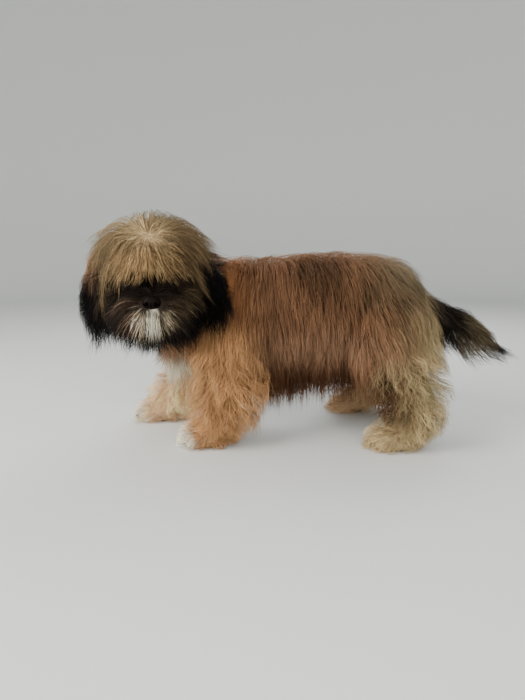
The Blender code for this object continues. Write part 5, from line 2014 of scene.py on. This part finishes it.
@dataclass
class Spikes:
    """Geometry Nodes that set a bent, tapered spike on every point of a mesh."""

    group: bpy.types.NodeTree = field(init=False)

    def __post_init__(self) -> None:
        """Build the tree, with its sizes as named inputs."""
        group = bpy.data.node_groups.new("Spikes", "GeometryNodeTree")
        socket = group.interface.new_socket
        socket("Geometry", in_out="INPUT", socket_type="NodeSocketGeometry")
        for name in ("Length", "Thickness", "Droop"):
            socket(name, in_out="INPUT", socket_type="NodeSocketFloat")
        for name in ("Sides", "Segments"):
            socket(name, in_out="INPUT", socket_type="NodeSocketInt")
        socket("Material", in_out="INPUT", socket_type="NodeSocketMaterial")
        socket("Geometry", in_out="OUTPUT", socket_type="NodeSocketGeometry")
        tree = NodeTree(group)
        given = tree.add("NodeGroupInput").outputs
        half = tree.add("ShaderNodeMath", {0: given["Length"], 1: 0.55}, operation="MULTIPLY")
        drop = tree.add("ShaderNodeMath", {0: given["Droop"], 1: -1.0}, operation="MULTIPLY")
        bend = tree.add("ShaderNodeCombineXYZ", {"X": half.outputs[0]})
        end = tree.add("ShaderNodeCombineXYZ", {"X": given["Length"], "Z": drop.outputs[0]})
        line = tree.add("GeometryNodeCurveQuadraticBezier", {
            "Resolution": given["Segments"], "Start": (0, 0, 0),
            "Middle": bend.outputs[0], "End": end.outputs[0],
        })
        along = tree.add("GeometryNodeSplineParameter")
        spent = tree.add(
            "ShaderNodeMath", {0: along.outputs["Factor"], 1: 1.6}, operation="POWER"
        )
        left = tree.add("ShaderNodeMath", {0: 1.03, 1: spent.outputs[0]}, operation="SUBTRACT")
        size = tree.add(
            "ShaderNodeMath", {0: left.outputs[0], 1: given["Thickness"]}, operation="MULTIPLY"
        )
        sized = tree.add("GeometryNodeSetCurveRadius", {
            "Curve": line.outputs[0], "Radius": size.outputs[0],
        })
        ring = tree.add("GeometryNodeCurvePrimitiveCircle", {
            "Resolution": given["Sides"], "Radius": 1.0,
        })
        tube = tree.add("GeometryNodeCurveToMesh", {
            "Curve": sized.outputs[0], "Profile Curve": ring.outputs[0], "Fill Caps": True,
        })
        if "Scale" in tube.inputs:
            tree.feed(tube, {"Scale": size.outputs[0]})
        named = "GeometryNodeInputNamedAttribute"
        aim = tree.add(named, {"Name": "aim"}, data_type="FLOAT_VECTOR")
        turned = tree.add(
            "FunctionNodeAlignRotationToVector", {"Vector": aim.outputs["Attribute"]}, axis="X"
        )
        scale = tree.add(named, {"Name": "size"}, data_type="FLOAT")
        placed = tree.add("GeometryNodeInstanceOnPoints", {
            "Points": given["Geometry"], "Instance": tube.outputs[0],
            "Rotation": turned.outputs[0], "Scale": scale.outputs["Attribute"],
        })
        real = tree.add("GeometryNodeRealizeInstances", {"Geometry": placed.outputs[0]})
        dressed = tree.add("GeometryNodeSetMaterial", {
            "Geometry": real.outputs[0], "Material": given["Material"],
        })
        tree.add("NodeGroupOutput", {"Geometry": dressed.outputs[0]})
        self.group = group

    def grow(
        self, name: str, spike: Spike, starts: list[tuple[Vector, Vector, float]],
        finish: bpy.types.Material,
    ) -> bpy.types.Object:
        """Set spikes on points and turn the result into a plain mesh.

        Args:
            name: The piece's name.
            spike: The sizes of a spike.
            starts: A place, a direction and a share of the full size for each spike.
            finish: Their material.

        Returns:
            The piece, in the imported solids' axes.
        """
        mesh = bpy.data.meshes.new(name)
        mesh.from_pydata([tuple(BODY_PLACE @ place) for place, _, _ in starts], [], [])
        aim = mesh.attributes.new("aim", "FLOAT_VECTOR", "POINT")
        aim.data.foreach_set("vector", [c for _, way, _ in starts for c in way.normalized()])
        size = mesh.attributes.new("size", "FLOAT", "POINT")
        size.data.foreach_set("value", [share for _, _, share in starts])
        obj = linked(name, mesh)
        nodes = obj.modifiers.new("Spikes", "NODES")
        nodes.node_group = self.group
        values = {
            "Length": spike.length, "Thickness": spike.thickness, "Droop": spike.droop,
            "Sides": spike.sides, "Segments": spike.segments, "Material": finish,
        }
        for item in self.group.interface.items_tree:
            if item.item_type == "SOCKET" and item.in_out == "INPUT" and item.name in values:
                nodes[item.identifier] = values[item.name]
        applied(obj)
        for name in ("aim", "size"):
            if name in obj.data.attributes:
                obj.data.attributes.remove(obj.data.attributes[name])
        smoothed(obj)
        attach(obj, BODY)
        return obj


@dataclass
class Trimmings:
    """The claws, whiskers and lashes."""

    spikes: Spikes
    claw: Spike = Spike(0.0065, 0.0012, 0.0028, 10, 8)
    whisker: Spike = Spike(0.034, 0.00011, 0.006, 5, 10)
    lash: Spike = Spike(0.0095, 0.00014, 0.0030, 4, 6)

    def claws(self, paws: tuple[Paw, ...], finish: bpy.types.Material) -> bpy.types.Object:
        """Make a claw on the front of each toe."""
        starts = []
        for paw in paws:
            for toe, radii in paw.toes():
                start = toe + Vector((0, -radii[1] * 0.80, -radii[2] * 0.10))
                starts.append((start, Vector(((toe.x - paw.x) * 8, -1.0, -0.25)), 1.0))
        obj = self.spikes.grow("claws", self.claw, starts, finish)
        return obj

    def whiskers(self, tree: BVHTree, finish: bpy.types.Material) -> bpy.types.Object:
        """Make the whiskers of the muzzle and over the eyes."""
        rng = np.random.default_rng(SEED + 900)
        starts = []
        for side in (1, -1):
            for row in range(4):
                for column in range(4):
                    local = Vector((
                        0.062 - 0.006 * column, side * (0.012 + 0.003 * column),
                        -0.019 - 0.0036 * row,
                    ))
                    up = -0.15 - 0.16 * row + rng.normal(0, 0.06)
                    way = Vector((0.55 - 0.15 * column, side * 1.0, up))
                    starts.append(self.from_skin(tree, local, way, 0.65 + 0.35 * rng.random()))
            for column in range(3):
                local = Vector((0.040, side * (0.016 + 0.004 * column), 0.012))
                starts.append(self.from_skin(tree, local, Vector((0.8, side * 0.5, 0.35)), 0.6))
        obj = self.spikes.grow("whiskers", self.whisker, starts, finish)
        return obj

    def lashes(self, face: Face, finish: bpy.types.Material) -> bpy.types.Object:
        """Make the lashes along both lids of each eye."""
        starts = []
        for eye in both_sides(EYE_PLACE):
            ring = face.lid_ring(eye, 0.0, -0.0006)
            for index, point in enumerate(ring):
                up = point.z > eye.z
                if not up and index % 2:
                    continue
                way = (point - eye).normalized() + Vector((0.7, 0.0, 0.25 if up else -0.25))
                place = HEAD_PLACE @ point
                starts.append((place, HEAD_TURN @ way, 1.0 if up else 0.5))
        obj = self.spikes.grow("lashes", self.lash, starts, finish)
        return obj

    @staticmethod
    def from_skin(
        tree: BVHTree, local: Vector, way: Vector, share: float
    ) -> tuple[Vector, Vector, float]:
        """A spike's start on the skin near a place in the head's axes, with its direction."""
        place = tree.find_nearest(HEAD_PLACE @ local)[0]
        return place, HEAD_TURN @ way, share


@dataclass(frozen=True)
class Lamp:
    """A square soft light: its place, what it is turned to, its width, power and colour."""

    name: str
    place: tuple[float, float, float]
    aim: tuple[float, float, float]
    size: float
    power: float
    hue: tuple[float, float, float]

    def add(self) -> None:
        """Put the light in the scene."""
        light = bpy.data.lights.new(self.name, "AREA")
        light.shape = "SQUARE"
        light.size = self.size
        light.energy = self.power
        light.color = self.hue
        obj = linked(self.name, light)
        obj.location = self.place
        way = Vector(self.aim) - Vector(self.place)
        obj.rotation_euler = way.to_track_quat("-Z", "Y").to_euler()


@dataclass
class Studio:
    """A pale floor that sweeps up into a backdrop, soft lights and the camera."""

    floor_radius: float = 2.2
    sweep: float = 0.7
    wall: float = 2.4
    sides: int = 96
    lens: float = 25.714
    pitch: float = 10.647
    camera_place: Vector = field(default_factory=lambda: Vector((0.61, -0.036, 0.22)))
    sky: tuple[float, float, float, float] = (0.80, 0.84, 0.86, 1.0)
    sky_strength: float = 0.62
    lamps: tuple[Lamp, ...] = (
        Lamp("key", (0.8, -1.2, 1.15), (0.0, 0.0, 0.12), 0.9, 22.0, (1.0, 0.97, 0.92)),
        Lamp("fill", (1.45, 0.1, 0.60), (0.0, 0.0, 0.12), 1.2, 20.0, (1.0, 0.98, 0.96)),
        Lamp("front", (0.75, -1.35, 0.45), (0.0, -0.15, 0.08), 0.7, 15.0, (1.0, 0.98, 0.95)),
        Lamp("back", (-0.9, 0.3, 1.1), (0.0, 0.0, 0.12), 0.9, 9.0, (1.0, 1.0, 1.0)),
    )

    def build_floor(self) -> None:
        """Make the floor and its backdrop as one round, smooth sheet."""
        bm = bmesh.new()
        profile = [(0.3 * i, 0.0) for i in range(1, int(self.floor_radius / 0.3) + 1)]
        for step in range(13):
            turn = math.radians(90 * step / 12)
            profile.append((
                self.floor_radius + self.sweep * math.sin(turn), self.sweep * (1 - math.cos(turn)),
            ))
        profile.append((self.floor_radius + self.sweep, self.wall))
        centre = bm.verts.new((0, 0, 0))
        rings = []
        for radius, height in profile:
            rings.append([
                bm.verts.new((radius * math.cos(t), radius * math.sin(t), height))
                for t in turns(self.sides)
            ])
        for i in range(self.sides):
            after = (i + 1) % self.sides
            bm.faces.new((centre, rings[0][i], rings[0][after]))
            for low, high in zip(rings, rings[1:]):
                bm.faces.new((low[i], high[i], high[after], low[after]))
        floor = object_from("floor", bm)
        floor.data.flip_normals()
        smoothed(floor)
        material, tree, shader = new_material("floor")
        tree.feed(shader, {"Base Color": (0.74, 0.75, 0.73, 1.0), "Roughness": 0.6})
        floor.data.materials.append(material)

    def build(self) -> None:
        """Make the floor, lights, sky and camera."""
        self.build_floor()
        for lamp in self.lamps:
            lamp.add()
        world = bpy.data.worlds.new("sky")
        world.use_nodes = True
        sky = world.node_tree.nodes["Background"].inputs
        sky["Color"].default_value, sky["Strength"].default_value = self.sky, self.sky_strength
        bpy.context.scene.world = world
        camera = bpy.data.cameras.new("camera")
        camera.lens = self.lens
        camera.sensor_width = 36.0
        camera.sensor_fit = "AUTO"
        obj = linked("camera", camera)
        obj.location = BODY_PLACE @ self.camera_place
        obj.rotation_euler = (math.radians(90 - self.pitch), 0, math.radians(90))
        bpy.context.scene.camera = obj


BARE_SKIN = Shade(0.022, 0.014, 0.012)
UNDERCOAT = 0.55
FLESH = (
    "head", "jaw", "ear_left", "ear_right", "neck", "chest", "loin", "rump", "tail",
    "foreleg_left", "foreleg_right", "hindleg_left", "hindleg_right",
    "forepaw_left", "forepaw_right", "hindpaw_left", "hindpaw_right",
)


def dress_skin(skin: bpy.types.Object, coat: Coat, finish: bpy.types.Material) -> None:
    """Give the skin the coat's markings, darker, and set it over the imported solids.

    Args:
        skin: The whole skin, in the body's own axes.
        coat: The coat, which knows the skin's regions.
        finish: The skin's material.
    """
    mesh = skin.data
    places = read_values(mesh.vertices, "co", 3)
    region = np.full(len(places), -1)
    region[read_values(mesh.loop_triangles, "vertices", 3)] = coat.tri_region[:, None]
    bare = region < 0
    tint = coat.markings.at(places, np.where(bare, REGION_INDEX[Region.MASK], region)) * UNDERCOAT
    tint[bare] = BARE_SKIN.array()
    write_markings(mesh, tint)
    mesh.transform(BODY_PLACE)
    mesh.materials.clear()
    mesh.materials.append(finish)
    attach(skin, BODY)
    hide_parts(*FLESH)


def main() -> None:
    """Build every part of the dog and its studio in turn."""
    logging.basicConfig(level=logging.INFO, format="%(name)s: %(message)s")
    mottle = mottle_group()
    Studio().build()
    plan = Skin()
    skin = plan.build()
    LOG.info("skin: %d faces", len(skin.data.polygons))
    coat = Coat(skin, Markings())
    coat.build(HAIR_FINISH.build(mottle))
    dress_skin(skin, coat, SKIN_FINISH.build(mottle))
    trimmings = Trimmings(Spikes())
    for piece in (
        Nose().build(LEATHER.build(mottle)),
        *Eyes().build(),
        trimmings.claws(plan.paws, HORN.build(mottle)),
        trimmings.whiskers(coat.tufts.tree, WHISKER_HAIR.build(mottle)),
        trimmings.lashes(plan.face, LASH_HAIR.build(mottle)),
    ):
        LOG.info("%s: %d faces", piece.name, len(piece.data.polygons))


if __name__ == "__main__":
    main()
